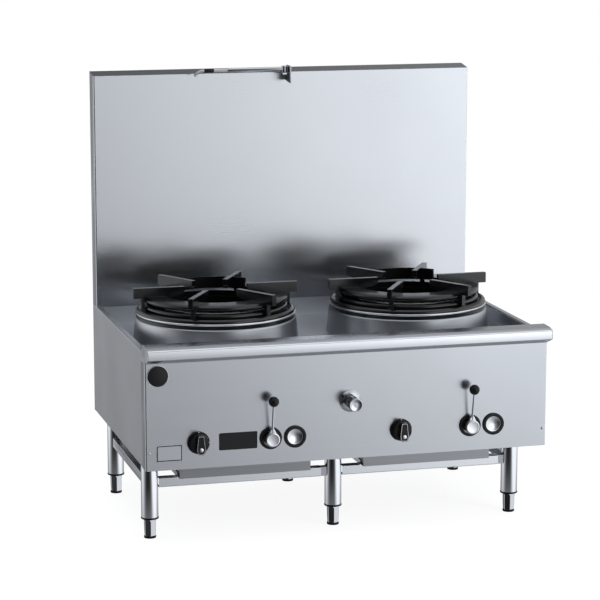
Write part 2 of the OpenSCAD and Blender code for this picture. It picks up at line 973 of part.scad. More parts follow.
// Water tap on the panel
tap_line = body_z + tap_z;
tap_valve_r = 17;
tap_valve_l = 66;
tap_stem_l = 40;
tap_bore_l = 46;
feed_back = 50;
feed_rise = 50;
module tap_flange() {
    shoulder = tap_r + 5;
    color("#d5d9df")
        difference() {
            translate([0, front_y, tap_line])
                rotate([90, 0, 0])
                    rotate_extrude()
                        polygon([
                            [0, 0], [bezel_r, 0], [bezel_r, tap_flange_t / 3],
                            [shoulder, tap_flange_t], [0, tap_flange_t]
                        ]);
            forward([0, front_y + 1, tap_line], stem + spindle_gap, tap_flange_t + 2);
        }
}
module tap_handle() {
    lobes = 8;
    flute_r = 5;
    flute_out = 3;
    neck = 8;
    disc_t = 6;
    behind = tap_flange_t + 0.5;
    color("#d5d9df")
        translate([0, front_y, tap_line]) {
            difference() {
                forward([0, -behind, 0], tap_r, tap_reach - behind);
                for (i = [0:lobes - 1])
                    rotate([0, i * 360 / lobes, 0])
                        forward([tap_r + flute_out, -behind - neck, 0], flute_r,
                                tap_reach - behind - neck - disc_t);
            }
            forward([0, tap_stem_l, 0], stem, tap_stem_l + behind + weld);
        }
}
module tap_valve() {
    color("#b08d3c")
        difference() {
            backward([0, front_y + sheet, tap_line], tap_valve_r, tap_valve_l);
            backward([0, front_y, tap_line], stem + spindle_gap, tap_bore_l);
        }
}
// One pipe from the tap up inside the splashback, and one from the inlet to the tap
module water_pipes() {
    out_y = front_y + sheet + tap_valve_l;
    in_y = front_y + feed_back;
    in_z = tap_line + feed_rise;
    spout_z = splash_top - 24;
    saddle = 0.05;
    color("#b98a5a") {
        backward([0, out_y, tap_line], pipe_r, service_y - out_y);
        translate([0, service_y, tap_line])
            sphere(r = pipe_r);
        upward([0, service_y, tap_line], pipe_r, spout_z - tap_line);
        translate([0, service_y, spout_z])
            sphere(r = pipe_r);
        forward([0, service_y, spout_z], pipe_r, service_y - splash_y - sheet);
        upward([0, in_y, tap_line + tap_valve_r + saddle], pipe_r, in_z - tap_line - tap_valve_r - saddle);
        translate([0, in_y, in_z])
            sphere(r = pipe_r);
        across([0, in_y, in_z], pipe_r, water_x);
        translate([water_x, in_y, in_z])
            sphere(r = pipe_r);
        backward([water_x, in_y, in_z], pipe_r, service_y - in_y);
        translate([water_x, service_y, in_z])
            sphere(r = pipe_r);
        upward([water_x, service_y, inlet_z + inlet_free + nut_t - weld], pipe_r,
               in_z - inlet_z - inlet_free - nut_t + weld);
        difference() {
            union() {
                upward([water_x, service_y, inlet_z], water_inlet_r, inlet_free + weld);
                nut([water_x, service_y, inlet_z + inlet_free], water_inlet_r);
            }
            upward([water_x, service_y, inlet_z - 1], pipe_r - 3, inlet_free);
        }
    }
}

// Swing arm: a bracket plate with a lug and pin, and a tube that turns on the pin
module faucet_bracket() {
    reach = arm_pivot_y + barrel_r + 19;
    low = splash_top - 31;
    high = splash_top + 24;
    low_rise = 7;
    high_drop = 6;
    lug = 8;
    barrel_z = tube_z - barrel_h / 2;
    color("#d5d9df") {
        along_x(0, bracket_t)
            polygon([
                [splash_y, low + low_rise], [splash_y - reach, low], [splash_y - reach, high],
                [splash_y - reach / 3, high], [splash_y, splash_top - high_drop]
            ]);
        block([pivot_x - barrel_r, pivot_y - barrel_r, barrel_z - lug],
              [0, pivot_y + barrel_r, barrel_z]);
        upward([pivot_x, pivot_y, barrel_z], pin_r, pin_l);
    }
}
module swing_arm() {
    x1 = pivot_x - tube_l;
    x2 = x1 - neck_l;
    x3 = x2 - grip_l;
    drop = 60;
    color("#d5d9df")
        difference() {
            union() {
                upward([pivot_x, pivot_y, tube_z - barrel_h / 2], barrel_r, barrel_h);
                across([x1, pivot_y, tube_z], tube_r, tube_l);
                across([x2, pivot_y, tube_z], neck_r, neck_l + weld);
                across([x3, pivot_y, tube_z], spout_r, grip_l + weld);
                translate([x3, pivot_y, tube_z - spout_bend])
                    rotate([90, 0, 0])
                        rotate([0, 0, 90])
                            rotate_extrude(angle = drop)
                                translate([spout_bend, 0])
                                    circle(r = spout_r);
            }
            upward([pivot_x, pivot_y, tube_z - barrel_h / 2 - 1], pin_r + spindle_gap, pin_l + 2);
        }
}
module arm_grip() {
    x3 = pivot_x - tube_l - neck_l - grip_l;
    color("#101011")
        difference() {
            across([x3, pivot_y, tube_z], grip_r, grip_l);
            across([x3 - 1, pivot_y, tube_z], spout_r + spindle_gap, grip_l + 2);
        }
}

// Legs and feet
module legs() {
    color("#c6cad0")
        for (x = leg_xs)
            for (y = [leg_front_y, leg_rear_y])
                difference() {
                    upward([x, y, foot_h + ring_h], leg_r, frame_z - foot_h - ring_h);
                    upward([x, y, foot_h], leg_r - leg_wall, frame_z);
                }
}
module leg_plugs() {
    color("#141415")
        for (x = leg_xs)
            for (y = [leg_front_y, leg_rear_y])
                difference() {
                    union() {
                        upward([x, y, foot_h], leg_r + ring_out, ring_h);
                        upward([x, y, foot_h], leg_r - leg_wall - plug_gap, ring_h + plug_h);
                    }
                    upward([x, y, foot_h - 1], stem_r + spindle_gap, ring_h + plug_h + 2);
                }
}
module foot(x, y) {
    pad_h = 5;
    pad_in = 1.5;
    color("#c6cad0")
        translate([x, y, 0]) {
            cylinder(r = foot_w / 2 - pad_in, h = pad_h);
            translate([0, 0, pad_h])
                cylinder(d = foot_w, h = foot_h - pad_h - foot_gap, $fn = 6);
            cylinder(r = stem_r, h = foot_h + ring_h + plug_h + foot_travel / 2);
        }
}
module front_left_foot() {
    foot(leg_xs[0], leg_front_y);
}
module front_middle_foot() {
    foot(leg_xs[1], leg_front_y);
}
module front_right_foot() {
    foot(leg_xs[2], leg_front_y);
}
module rear_left_foot() {
    foot(leg_xs[0], leg_rear_y);
}
module rear_middle_foot() {
    foot(leg_xs[1], leg_rear_y);
}
module rear_right_foot() {
    foot(leg_xs[2], leg_rear_y);
}

// Channels between the legs: across each bay at the front and the rear, and down each side
module rail_section() {
    fold([[rail_d, rail_z], [0, rail_z], [0, rail_top_z], [rail_d, rail_top_z]], same(3, sheet + 1), -sheet);
}
module leg_rails() {
    end = leg_r + leg_clear;
    color("#a9adb3") {
        for (bay = [0, 1]) {
            x0 = leg_xs[bay] + end;
            x1 = leg_xs[bay + 1] - end - bracket_w;
            translate([0, leg_front_y - rail_d / 2, 0])
                along_x(x0, x1)
                    rail_section();
            translate([0, leg_rear_y + rail_d / 2, 0])
                mirror([0, 1, 0])
                    along_x(x0, x1)
                        rail_section();
        }
        for (s = [-1, 1])
            translate([s * leg_x, 0, 0])
                mirror([s < 0 ? 1 : 0, 0, 0])
                    translate([rail_d / 2, 0, 0])
                        mirror([1, 0, 0])
                            along_y(leg_front_y + end, leg_rear_y - end)
                                rail_section();
    }
}
// Clamps that join a channel's right end to its leg
module rail_brackets() {
    inset = [2, 0.5];
    hug = 6;
    color("#5c6065")
        for (bay = [0, 1])
            for (y = [leg_front_y, leg_rear_y]) {
                x1 = leg_xs[bay + 1] - leg_r - leg_clear;
                difference() {
                    block([x1 - bracket_w, y - rail_d / 2 + inset.x, rail_z + inset.y],
                          [x1 + hug, y + rail_d / 2 - inset.x, rail_top_z - inset.y]);
                    upward([leg_xs[bay + 1], y, rail_z - 1], leg_r + leg_clear / 2, rail_h + 2);
                }
            }
}
// Angles on which the trays slide
module tray_runners() {
    y0 = leg_front_y - rail_d / 2 - 8;
    y1 = leg_rear_y + rail_d / 2;
    color("#a9adb3")
        for (s = [-1, 1])
            for (side = [-1, 1])
                translate([s * bay_x + side * (tray_w / 2 + tray_gap), 0, 0])
                    mirror([side < 0 ? 1 : 0, 0, 0])
                        along_y(y0, y1)
                            fold([[-runner_w, rail_top_z], [sheet, rail_top_z], [sheet, rail_top_z + runner_h]],
                                 same(2, sheet + 1), sheet);
}
module drip_tray(x) {
    lip = 12;
    y0 = front_y + tray_y;
    color("#8a8e94")
        difference() {
            union() {
                block([x - tray_w / 2, y0, tray_z], [x + tray_w / 2, y0 + tray_l, tray_z + tray_h]);
                block([x - tray_w / 2, y0 - lip, tray_z + tray_h - sheet],
                      [x + tray_w / 2, y0 + 1, tray_z + tray_h]);
                block([x - tray_w / 2, y0 - lip, tray_z + tray_h - lip],
                      [x + tray_w / 2, y0 - lip + sheet, tray_z + tray_h]);
            }
            block([x - tray_w / 2 + sheet, y0 + sheet, tray_z + sheet],
                  [x + tray_w / 2 - sheet, y0 + tray_l - sheet, tray_z + tray_h + 1]);
        }
}
module left_drip_tray() {
    drip_tray(-bay_x);
}
module right_drip_tray() {
    drip_tray(bay_x);
}

// Plain plates on the panel: a round badge, a small plate and a dark plate
module blank_plates() {
    plate_t = 1;
    badge = [37, 66, 31, 2];
    small_gap = 14;
    small_h = 48;
    small_x0 = -half_w + screw_inset + 5 * screw_r;
    small_x1 = burners[0] + knob_x - bezel_r - small_gap;
    dark_gap = 27;
    lever_gap = 7;
    dark_h = 50;
    dark_x0 = burners[0] + knob_x + bezel_r + dark_gap;
    dark_x1 = burners[0] + lever_x - bezel_r - lever_gap;
    color("#26272a")
        forward([-half_w + badge.x, front_y, side_top - badge.y], badge.z, badge[3]);
    color("#b9bdc3")
        plate(small_x0, small_x1, control_line - 26, small_h, plate_t);
    color("#1a1b1d")
        plate(dark_x0, dark_x1, control_line - 2, dark_h, plate_t);
}
module plate(x0, x1, z, h, t) {
    block([x0, front_y - t, z - h / 2], [x1, front_y, z + h / 2]);
}

// Domed screws: two on the panel, and rows on the back
module screw(p, turn) {
    translate(p)
        rotate([turn, 0, 0])
            difference() {
                sphere(r = screw_r);
                translate([0, 0, -2 * screw_r])
                    cylinder(r = 2 * screw_r, h = 2 * screw_r);
            }
}
module panel_screws() {
    rows = [body_z + 30, side_top - 30, side_top + 40, splash_top - 40];
    color("#8d9197") {
        for (s = [-1, 1])
            screw([s * (half_w - screw_inset), front_y, control_line - 23], 90);
        for (z = rows)
            for (k = [-2:2])
                screw([k * (half_w - 30) / 2, back_y, z], -90);
    }
}

left_side_panel();
right_side_panel();
front_panel();
front_rail();
deck_pan();
rear_panel();
splashback_skin();
splashback_back();
splashback_frame();
leg_frame();
left_collar();
right_collar();
left_burner_ring();
right_burner_ring();
left_riser_ring();
right_riser_ring();
left_trivet();
right_trivet();
burner_heads();
burner_bearers();
mixer_tubes();
injectors();
pilot_burners();
gas_manifold();
gas_valves();
lever_valves();
left_spindle();
right_spindle();
left_knob();
right_knob();
knob_bezels();
left_lever();
right_lever();
left_lever_ball();
right_lever_ball();
round_bezels();
sight_covers();
tap_flange();
tap_handle();
tap_valve();
water_pipes();
faucet_bracket();
swing_arm();
arm_grip();
legs();
leg_plugs();
front_left_foot();
front_middle_foot();
front_right_foot();
rear_left_foot();
rear_middle_foot();
rear_right_foot();
leg_rails();
rail_brackets();
tray_runners();
left_drip_tray();
right_drip_tray();
blank_plates();
panel_screws();
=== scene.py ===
"""Looks of the two-hole stock pot steamer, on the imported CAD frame.

The front faces -Y and the floor is z = 0. Shapes are written in millimetres and become metres where
they are made. Places and sizes come from the CAD boxes. A shader value is a number or a (node, output)
pair.
"""
import json
import math

import bmesh
import bpy
import numpy as np
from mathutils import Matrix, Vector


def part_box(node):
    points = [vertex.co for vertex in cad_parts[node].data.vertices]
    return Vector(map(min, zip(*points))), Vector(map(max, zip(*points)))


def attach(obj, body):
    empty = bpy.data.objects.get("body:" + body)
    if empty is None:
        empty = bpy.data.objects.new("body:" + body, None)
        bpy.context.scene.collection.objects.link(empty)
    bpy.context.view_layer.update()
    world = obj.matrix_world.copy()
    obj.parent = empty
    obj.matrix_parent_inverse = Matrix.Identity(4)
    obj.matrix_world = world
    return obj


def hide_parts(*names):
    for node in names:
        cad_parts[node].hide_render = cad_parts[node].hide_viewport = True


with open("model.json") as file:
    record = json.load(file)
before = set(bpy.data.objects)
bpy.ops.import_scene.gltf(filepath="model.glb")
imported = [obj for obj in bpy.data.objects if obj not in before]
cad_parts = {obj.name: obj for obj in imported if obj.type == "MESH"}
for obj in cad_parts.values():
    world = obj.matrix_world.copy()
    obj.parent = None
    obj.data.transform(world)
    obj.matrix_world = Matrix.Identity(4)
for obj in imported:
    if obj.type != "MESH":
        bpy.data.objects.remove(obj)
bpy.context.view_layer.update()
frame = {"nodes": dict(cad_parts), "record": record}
MM = 0.001


# Shader node helpers
def add(tree, kind, values=None, **settings):
    """A new node with its settings made first, and then its inputs set or linked."""
    node = tree.nodes.new("ShaderNode" + kind)
    for key, setting in settings.items():
        setattr(node, key, setting)
    for label, value in (values or {}).items():
        if isinstance(value, tuple) and isinstance(value[0], bpy.types.Node):
            link(tree, value, node, label)
        else:
            node.inputs[label].default_value = value
    return node


def link(tree, value, node, label):
    tree.links.new(value[0].outputs[value[1]], node.inputs[label])


def maths(tree, kind, *values):
    return add(tree, "Math", dict(enumerate(values)), operation=kind), 0


def noise(tree, vector, scale, detail, rough=0.5):
    return add(tree, "TexNoise", {"Vector": vector, "Scale": scale, "Detail": detail, "Roughness": rough}), "Fac"


def ranged(tree, value, low, high, out_low, out_high):
    """A value's way from low to high carried over to out_low to out_high, and held at both ends."""
    return add(tree, "MapRange", {"Value": value, "From Min": low, "From Max": high,
                                  "To Min": out_low, "To Max": out_high}), "Result"


def shade(tree, value, low, high, dark, light):
    """A colour between dark and light as value goes from low to high."""
    share = ranged(tree, value, low, high, 0.0, 1.0)
    return add(tree, "Mix", {"Factor": share, "A": (*dark, 1.0), "B": (*light, 1.0)}, data_type="RGBA"), "Result"


def either(tree, path, *labels):
    """1 for a ray of any of the named kinds."""
    kind = (path, labels[0])
    for label in labels[1:]:
        kind = maths(tree, "MAXIMUM", kind, (path, label))
    return kind


def joined(tree, share, first, second):
    """The shader first where share is 0, second where it is 1."""
    return add(tree, "MixShader", {"Fac": share, 1: (first, 0), 2: (second, 0)})


# Shared shader groups
def group(name, inputs, outputs):
    """An empty node group with (socket type, name, default) inputs and named number outputs."""
    tree = bpy.data.node_groups.new(name, "ShaderNodeTree")
    for kind, label, default in inputs:
        socket = tree.interface.new_socket(name=label, in_out="INPUT", socket_type=kind)
        socket.default_value = default
    for label in outputs:
        tree.interface.new_socket(name=label, in_out="OUTPUT", socket_type="NodeSocketFloat")
    return tree, tree.nodes.new("NodeGroupInput"), tree.nodes.new("NodeGroupOutput")


def grain_group():
    """Brushing: noise drawn out along the direction whose scale is small. Gives a grain and a cloud value."""
    tree, given, made = group("brushed_grain", [("NodeSocketVector", "Scale", (1.0, 1.0, 1.0))], ["Grain", "Cloud"])
    place = add(tree, "TexCoord"), "Object"
    stretch = add(tree, "VectorMath", {0: place, 1: (given, "Scale")}, operation="MULTIPLY")
    link(tree, noise(tree, (stretch, 0), 1.0, 4.0, 0.6), made, "Grain")
    link(tree, noise(tree, place, 2.6, 3.0, 0.55), made, "Cloud")
    return tree


def wear_group():
    """Edge wear: how far a rounded normal leaves the true one, broken up by noise. 1 on worn edges."""
    tree, given, made = group(
        "edge_wear", [("NodeSocketFloat", "Radius", 0.0015), ("NodeSocketFloat", "Amount", 1.0)], ["Wear"])
    place = add(tree, "TexCoord"), "Object"
    rounded = add(tree, "Bevel", {"Radius": (given, "Radius")}, samples=4), "Normal"
    true = add(tree, "NewGeometry"), "Normal"
    same = add(tree, "VectorMath", {0: rounded, 1: true}, operation="DOT_PRODUCT"), "Value"
    edge = maths(tree, "MULTIPLY", maths(tree, "SUBTRACT", 1.0, same), 6.0)
    rubbed = maths(tree, "MULTIPLY", noise(tree, place, 60.0, 4.0, 0.6), 1.6)
    wear = maths(tree, "MULTIPLY", maths(tree, "MULTIPLY", edge, rubbed), (given, "Amount"))
    link(tree, (add(tree, "Clamp", {"Value": wear}), "Result"), made, "Wear")
    return tree


def cast_group():
    """Sand-cast skin: fine pits over soft waves, as a height from 0 to 1."""
    tree, given, made = group("cast_skin", [("NodeSocketFloat", "Size", 260.0)], ["Height"])
    place = add(tree, "TexCoord"), "Object"
    pits = maths(tree, "MULTIPLY", noise(tree, place, (given, "Size"), 5.0, 0.65), 0.7)
    waves = maths(tree, "MULTIPLY", noise(tree, place, 24.0, 2.0), 0.3)
    link(tree, maths(tree, "ADD", pits, waves), made, "Height")
    return tree


GRAIN, WEAR, CAST = grain_group(), wear_group(), cast_group()


# Material recipes
def material(name):
    """A new material, its tree and its Principled shader."""
    made = bpy.data.materials.new(name)
    made.use_nodes = True
    return made, made.node_tree, made.node_tree.nodes["Principled BSDF"]


def use(tree, shared, **values):
    return add(tree, "Group", values, node_tree=shared)


def bump(tree, shader, height, strength, distance):
    node = add(tree, "Bump", {"Height": height, "Strength": strength, "Distance": distance})
    link(tree, (node, "Normal"), shader, "Normal")


def brushed(name, scale, colour, rough, depth=0.000006, vary=0.025, drawn=None):
    """Brushed sheet: grain in the colour, the gloss and the surface, and soft clouds in the gloss.

    drawn is the axis whose ring the gloss is drawn out along, how much, and its turn (0.25 is across).
    """
    made, tree, shader = material(name)
    node = use(tree, GRAIN, Scale=scale)
    grain, cloud = (node, "Grain"), (node, "Cloud")
    dark, light = (tuple(c * k for c in colour) for k in (1.0 - vary, 1.0 + vary))
    link(tree, shade(tree, grain, 0.3, 0.7, dark, light), shader, "Base Color")
    soft = maths(tree, "ADD", maths(tree, "MULTIPLY", grain, 0.35), maths(tree, "MULTIPLY", cloud, 0.65))
    link(tree, ranged(tree, soft, 0.3, 0.7, *rough), shader, "Roughness")
    shader.inputs["Metallic"].default_value = 1.0
    bump(tree, shader, grain, 0.25, depth)
    if drawn:
        axis, share, turn = drawn
        link(tree, (add(tree, "Tangent", direction_type="RADIAL", axis=axis), "Tangent"), shader, "Tangent")
        shader.inputs["Anisotropic"].default_value = share
        shader.inputs["Anisotropic Rotation"].default_value = turn
    return made


def smooth_metal(name, colour, rough, smudge):
    """Plated or polished metal: even, with faint smudges in its gloss."""
    made, tree, shader = material(name)
    node = use(tree, GRAIN, Scale=(30.0, 30.0, 30.0))
    dark = tuple(c * 0.96 for c in colour)
    link(tree, shade(tree, (node, "Cloud"), 0.35, 0.65, dark, colour), shader, "Base Color")
    link(tree, ranged(tree, (node, "Grain"), 0.3, 0.7, rough, rough + smudge), shader, "Roughness")
    shader.inputs["Metallic"].default_value = 1.0
    return made


def skinned(name, colour, worn, rough, gleam, size, relief, wear):
    """A matt skin with pits of a size, paler where edges are rubbed.

    relief is the bump's strength and distance, and wear the worn edge's radius and amount.
    """
    made, tree, shader = material(name)
    height = use(tree, CAST, Size=size), "Height"
    rubbed = use(tree, WEAR, Radius=wear[0], Amount=wear[1]), "Wear"
    link(tree, shade(tree, rubbed, 0.0, 1.0, colour, worn), shader, "Base Color")
    link(tree, ranged(tree, height, 0.3, 0.7, *rough), shader, "Roughness")
    shader.inputs["Specular IOR Level"].default_value = gleam
    bump(tree, shader, height, *relief)
    return made


def cast(name, colour, worn, rough, gleam, depth=0.0002):
    """Cast iron."""
    return skinned(name, colour, worn, rough, gleam, 260.0, (0.4, depth), (0.0018, 0.8))


def plastic(name, colour, worn, rough, gleam):
    """Moulded plastic or rubber."""
    return skinned(name, colour, worn, rough, gleam, 900.0, (0.2, 0.00005), (0.0008, 0.6))


# Grain scales: drawn out along X, or along Y on the side panels
ALONG_X, ALONG_Y = (2.0, 300.0, 900.0), (300.0, 2.0, 900.0)
RECIPES = {
    "brushed_steel": (brushed, dict(scale=ALONG_X, colour=(0.65, 0.675, 0.71), rough=(0.22, 0.28),
                                    drawn=("X", 0.6, 0.25))),
    "panel_steel": (brushed, dict(scale=ALONG_X, colour=(0.48, 0.5, 0.53), rough=(0.22, 0.28),
                                  drawn=("X", 0.6, 0.25))),
    # back steel: a lighter copy of the sheet steel, painted light that makes up for the dark studio the back
    # reflects
    "back_steel": (brushed, dict(scale=ALONG_X, colour=(0.7, 0.72, 0.75), rough=(0.34, 0.42))),
    "splash_steel": (brushed, dict(scale=ALONG_X, colour=(0.545, 0.565, 0.595), rough=(0.245, 0.28),
                                   depth=0.000003, vary=0.012, drawn=("X", 0.75, 0.25))),
    # deck steel: a lighter copy of the sheet steel, painted light that makes up for the dark it reflects
    "deck_steel": (brushed, dict(scale=ALONG_X, colour=(0.76, 0.785, 0.82), rough=(0.34, 0.4))),
    # tray steel: a darker copy of the sheet steel, painted shade for the shade under the body where the trays hang
    "tray_steel": (brushed, dict(scale=(2.0, 60.0, 200.0), colour=(0.25, 0.26, 0.275), rough=(0.26, 0.34),
                                 vary=0.06)),
    "side_steel": (brushed, dict(scale=ALONG_Y, colour=(0.69, 0.715, 0.755), rough=(0.2, 0.28),
                                 drawn=("Z", 0.4, 0.0))),
    "turned_steel": (brushed, dict(scale=(60.0, 60.0, 500.0), colour=(0.4, 0.415, 0.44), rough=(0.33, 0.4))),
    "dull_steel": (brushed, dict(scale=(6.0, 60.0, 200.0), colour=(0.4, 0.42, 0.45), rough=(0.38, 0.5),
                                 vary=0.05)),
    "polished_steel": (brushed, dict(scale=(90.0, 90.0, 6.0), colour=(0.6, 0.62, 0.65), rough=(0.16, 0.22))),
    "leg_steel": (brushed, dict(scale=(160.0, 160.0, 5.0), colour=(0.68, 0.7, 0.73), rough=(0.12, 0.17))),
    "chrome": (smooth_metal, dict(colour=(0.47, 0.485, 0.51), rough=0.05, smudge=0.04)),
    "cast_iron": (cast, dict(colour=(0.0025, 0.0026, 0.003), worn=(0.03, 0.03, 0.032), rough=(0.16, 0.26),
                             gleam=0.5, depth=0.00012)),
    # black_iron: a darker, duller copy of cast_iron, painted shade where it darkens the trivet's middle
    "black_iron": (cast, dict(colour=(0.0012, 0.0012, 0.0013), worn=(0.01, 0.01, 0.011), rough=(0.5, 0.6),
                              gleam=0.1)),
    "burner_iron": (cast, dict(colour=(0.012, 0.012, 0.012), worn=(0.05, 0.048, 0.045), rough=(0.6, 0.75),
                               gleam=0.2)),
    "black_plastic": (plastic, dict(colour=(0.0035, 0.0035, 0.004), worn=(0.02, 0.02, 0.021),
                                    rough=(0.28, 0.36), gleam=0.25)),
    "black_rubber": (plastic, dict(colour=(0.006, 0.006, 0.0065), worn=(0.03, 0.03, 0.03), rough=(0.55, 0.7),
                                   gleam=0.25)),
    "brass": (smooth_metal, dict(colour=(0.6, 0.44, 0.19), rough=0.22, smudge=0.14)),
    "copper": (smooth_metal, dict(colour=(0.62, 0.32, 0.2), rough=0.26, smudge=0.16)),
    "dark_plate": (plastic, dict(colour=(0.006, 0.0063, 0.007), worn=(0.04, 0.04, 0.043), rough=(0.34, 0.44),
                                 gleam=0.25)),
    "pale_plate": (smooth_metal, dict(colour=(0.5, 0.52, 0.55), rough=0.3, smudge=0.12)),
    "white_mark": (plastic, dict(colour=(0.6, 0.61, 0.62), worn=(0.7, 0.7, 0.7), rough=(0.4, 0.5), gleam=0.3)),
}
MATERIALS = {name: recipe(name, **values) for name, (recipe, values) in RECIPES.items()}

# A CAD node takes its record's material slot, unless it is a sheet that the photo shows in another tone
SLOTS = {part["node"]: part["material_slot"] for part in frame["record"]["subparts"]}
# Own tones: the trays' darker steel is painted shade, and the back's and the deck's lighter steel is painted light
OWN = {"front_panel": "panel_steel", "rear_panel": "back_steel", "splashback_back": "back_steel",
       "left_side_panel": "side_steel", "right_side_panel": "side_steel", "splashback_skin": "splash_steel",
       "deck_pan": "deck_steel", "left_drip_tray": "tray_steel", "right_drip_tray": "tray_steel"}
for node, obj in frame["nodes"].items():
    obj.data.materials.clear()
    obj.data.materials.append(MATERIALS[OWN.get(node, SLOTS[node])])

# Shapes. A part is (points, corners, sizes): points in metres, the faces' corner numbers in a row, and
# how many corners each face has. An axis gives the directions U, V and W of a shape.
AXES = {
    "+Z": np.array(((1, 0, 0), (0, 1, 0), (0, 0, 1)), float),
    "-Y": np.array(((1, 0, 0), (0, 0, 1), (0, -1, 0)), float),
    "+Y": np.array(((1, 0, 0), (0, 0, 1), (0, 1, 0)), float),
    "+X": np.array(((0, 1, 0), (0, 0, 1), (1, 0, 0)), float),
}


def grid_part(points, shape, wrap_rows, wrap_cols, caps=()):
    """A grid of points as quads between neighbours, closed round where it wraps, with flat caps.

    The quad at row i and column k has the corners (i, k), (i + 1, k), (i + 1, k + 1) and (i, k + 1).
    """
    rows, cols = shape
    i, k = np.meshgrid(np.arange(rows - (not wrap_rows)), np.arange(cols - (not wrap_cols)), indexing="ij")
    j, m = (i + 1) % rows * cols, (k + 1) % cols
    quads = np.stack([i * cols + k, j + k, j + m, i * cols + m], -1)
    corners = np.concatenate([quads.ravel(), *caps])
    sizes = np.array([4] * i.size + [len(cap) for cap in caps])
    return welded(points.reshape(-1, 3), corners, sizes)


def welded(points, corners, sizes):
    """Points closer than a micrometre become one.

    A face drops each corner that repeats the one before it, and goes if fewer than three are left.
    """
    keys = np.round(points * 1e6).astype(int)
    _, first, index = np.unique(keys, axis=0, return_index=True, return_inverse=True)
    corners = index.ravel()[corners]
    ends = np.cumsum(sizes)
    before = np.roll(corners, 1)
    before[ends - sizes] = corners[ends - 1]
    face = np.repeat(np.arange(len(sizes)), sizes)
    kept = corners != before
    count = np.bincount(face[kept], minlength=len(sizes))
    kept &= count[face] > 2
    return points[first], corners[kept], count[count > 2]


def lathe(profile, origin, axis="+Z", n=96, closed=True, start=0.0, turn=360.0):
    """A profile of (radius, height) turned about an axis: point = origin + r*cos(a)*U + r*sin(a)*V + h*W."""
    u, v, w = AXES[axis]
    whole = turn >= 359.9
    a = np.radians(start + np.linspace(0, turn, n + (not whole), endpoint=not whole))[:, None, None]
    r, h = np.array(profile, float).T[:, None, :, None]
    points = (np.array(origin) + r * (np.cos(a) * u + np.sin(a) * v) + h * w) * MM
    rows, cols = points.shape[:2]
    caps = []
    if closed and not whole:
        caps = [np.arange(cols), (rows - 1) * cols + np.arange(cols)]
    if not closed:
        caps = [np.arange(rows) * cols + end for end in (0, cols - 1) if profile[end][0] > 1e-6]
    return grid_part(points, (rows, cols), whole, closed, caps)


def slab(outline, low, high, origin=(0, 0, 0), axis="+Z"):
    """A closed outline carried along an axis: point = origin + u*U + v*V + h*W, at h = low and high."""
    u, v, w = AXES[axis]
    flat = np.array(origin, float) + np.array(outline, float) @ np.array((u, v))
    n = len(outline)
    points = np.stack([flat + low * w, flat + high * w]) * MM
    return grid_part(points, (2, n), False, True, [np.arange(n), n + np.arange(n)])


def cuboid(low, high):
    """A box between two corners: the rectangle from (x0, y0) to (x1, y1), carried from z0 to z1."""
    (x0, y0, z0), (x1, y1, z1) = low, high
    return slab([(x0, y0), (x1, y0), (x1, y1), (x0, y1)], z0, z1)


def tube(path, radii, n):
    """A round section carried along points: point = path[i] + radii[i]*(cos(a)*U + sin(a)*V), with flat ends."""
    p = np.array(path, float)
    t = np.gradient(p, axis=0)
    t /= np.linalg.norm(t, axis=1)[:, None]
    u = np.cross(t, (0.0, 0.0, 1.0) if abs(t[0][2]) < 0.9 else (1.0, 0.0, 0.0))
    u /= np.linalg.norm(u, axis=1)[:, None]
    v = np.cross(t, u)
    a = np.linspace(0, 2 * math.pi, n, endpoint=False)[None, :, None]
    ring = np.cos(a) * u[:, None] + np.sin(a) * v[:, None]
    points = (p[:, None] + np.array(radii, float)[:, None, None] * ring) * MM
    ends = [np.arange(n), (len(p) - 1) * n + np.arange(n)]
    return grid_part(points, (len(p), n), False, True, ends)


def lobed(profile, origin, lobes, n=160):
    """A lathe along -Y for (r, h, depth): its radius is r * (1 - depth * ((1 + cos(lobes * a)) / 2)^2)."""
    r, h, depth = np.array(profile, float).T
    a = np.linspace(0, 2 * math.pi, n, endpoint=False)[:, None]
    q = r * (1 - depth * ((1 + np.cos(lobes * a)) / 2) ** 2)
    x, y, z = origin
    points = np.stack([x + q * np.cos(a), y - h + 0 * q, z + q * np.sin(a)], -1) * MM
    return grid_part(points, q.shape, True, False)


def placed(parts, centre, degrees=0.0):
    """Parts turned about the upright through their own origin, then moved to centre (mm)."""
    c, s = math.cos(math.radians(degrees)), math.sin(math.radians(degrees))
    turn = np.array(((c, s, 0), (-s, c, 0), (0, 0, 1)))
    return [(points @ turn + np.array(centre) * MM, corners, sizes) for points, corners, sizes in parts]


def arc(cx, cy, r, a0, a1, steps=12):
    """Points (cx + r*cos(a), cy + r*sin(a)) from a0 to a1 degrees."""
    a = np.radians(np.linspace(a0, a1, steps + 1))
    return np.column_stack([cx + r * np.cos(a), cy + r * np.sin(a)]).tolist()


def round_corners(outline, radii, steps=6):
    """A closed outline with each corner turned into an arc.

    The arc's centre lies on the corner's bisector at r / sin(half angle), and its ends on the two sides
    at r / tan(half angle). The points run from one end to the other round the centre.
    """
    out = []
    for before, here, after, r in zip(outline[-1:] + outline[:-1], outline, outline[1:] + outline[:1], radii):
        p, q, s = (np.array(at, float) for at in (before, here, after))
        u, v = (p - q) / np.linalg.norm(p - q), (s - q) / np.linalg.norm(s - q)
        half = math.acos(max(-1.0, min(1.0, float(u @ v)))) / 2
        if r <= 0 or math.pi / 2 - half < 1e-3:
            out.append(tuple(q))
            continue
        centre = q + (u + v) / np.linalg.norm(u + v) * r / math.sin(half)
        a, b = q + u * r / math.tan(half) - centre, q + v * r / math.tan(half) - centre
        t = math.atan2(a[0] * b[1] - a[1] * b[0], a @ b) * np.arange(steps + 1)[:, None] / steps
        out += (centre + a * np.cos(t) + np.array((-a[1], a[0])) * np.sin(t)).tolist()
    return out


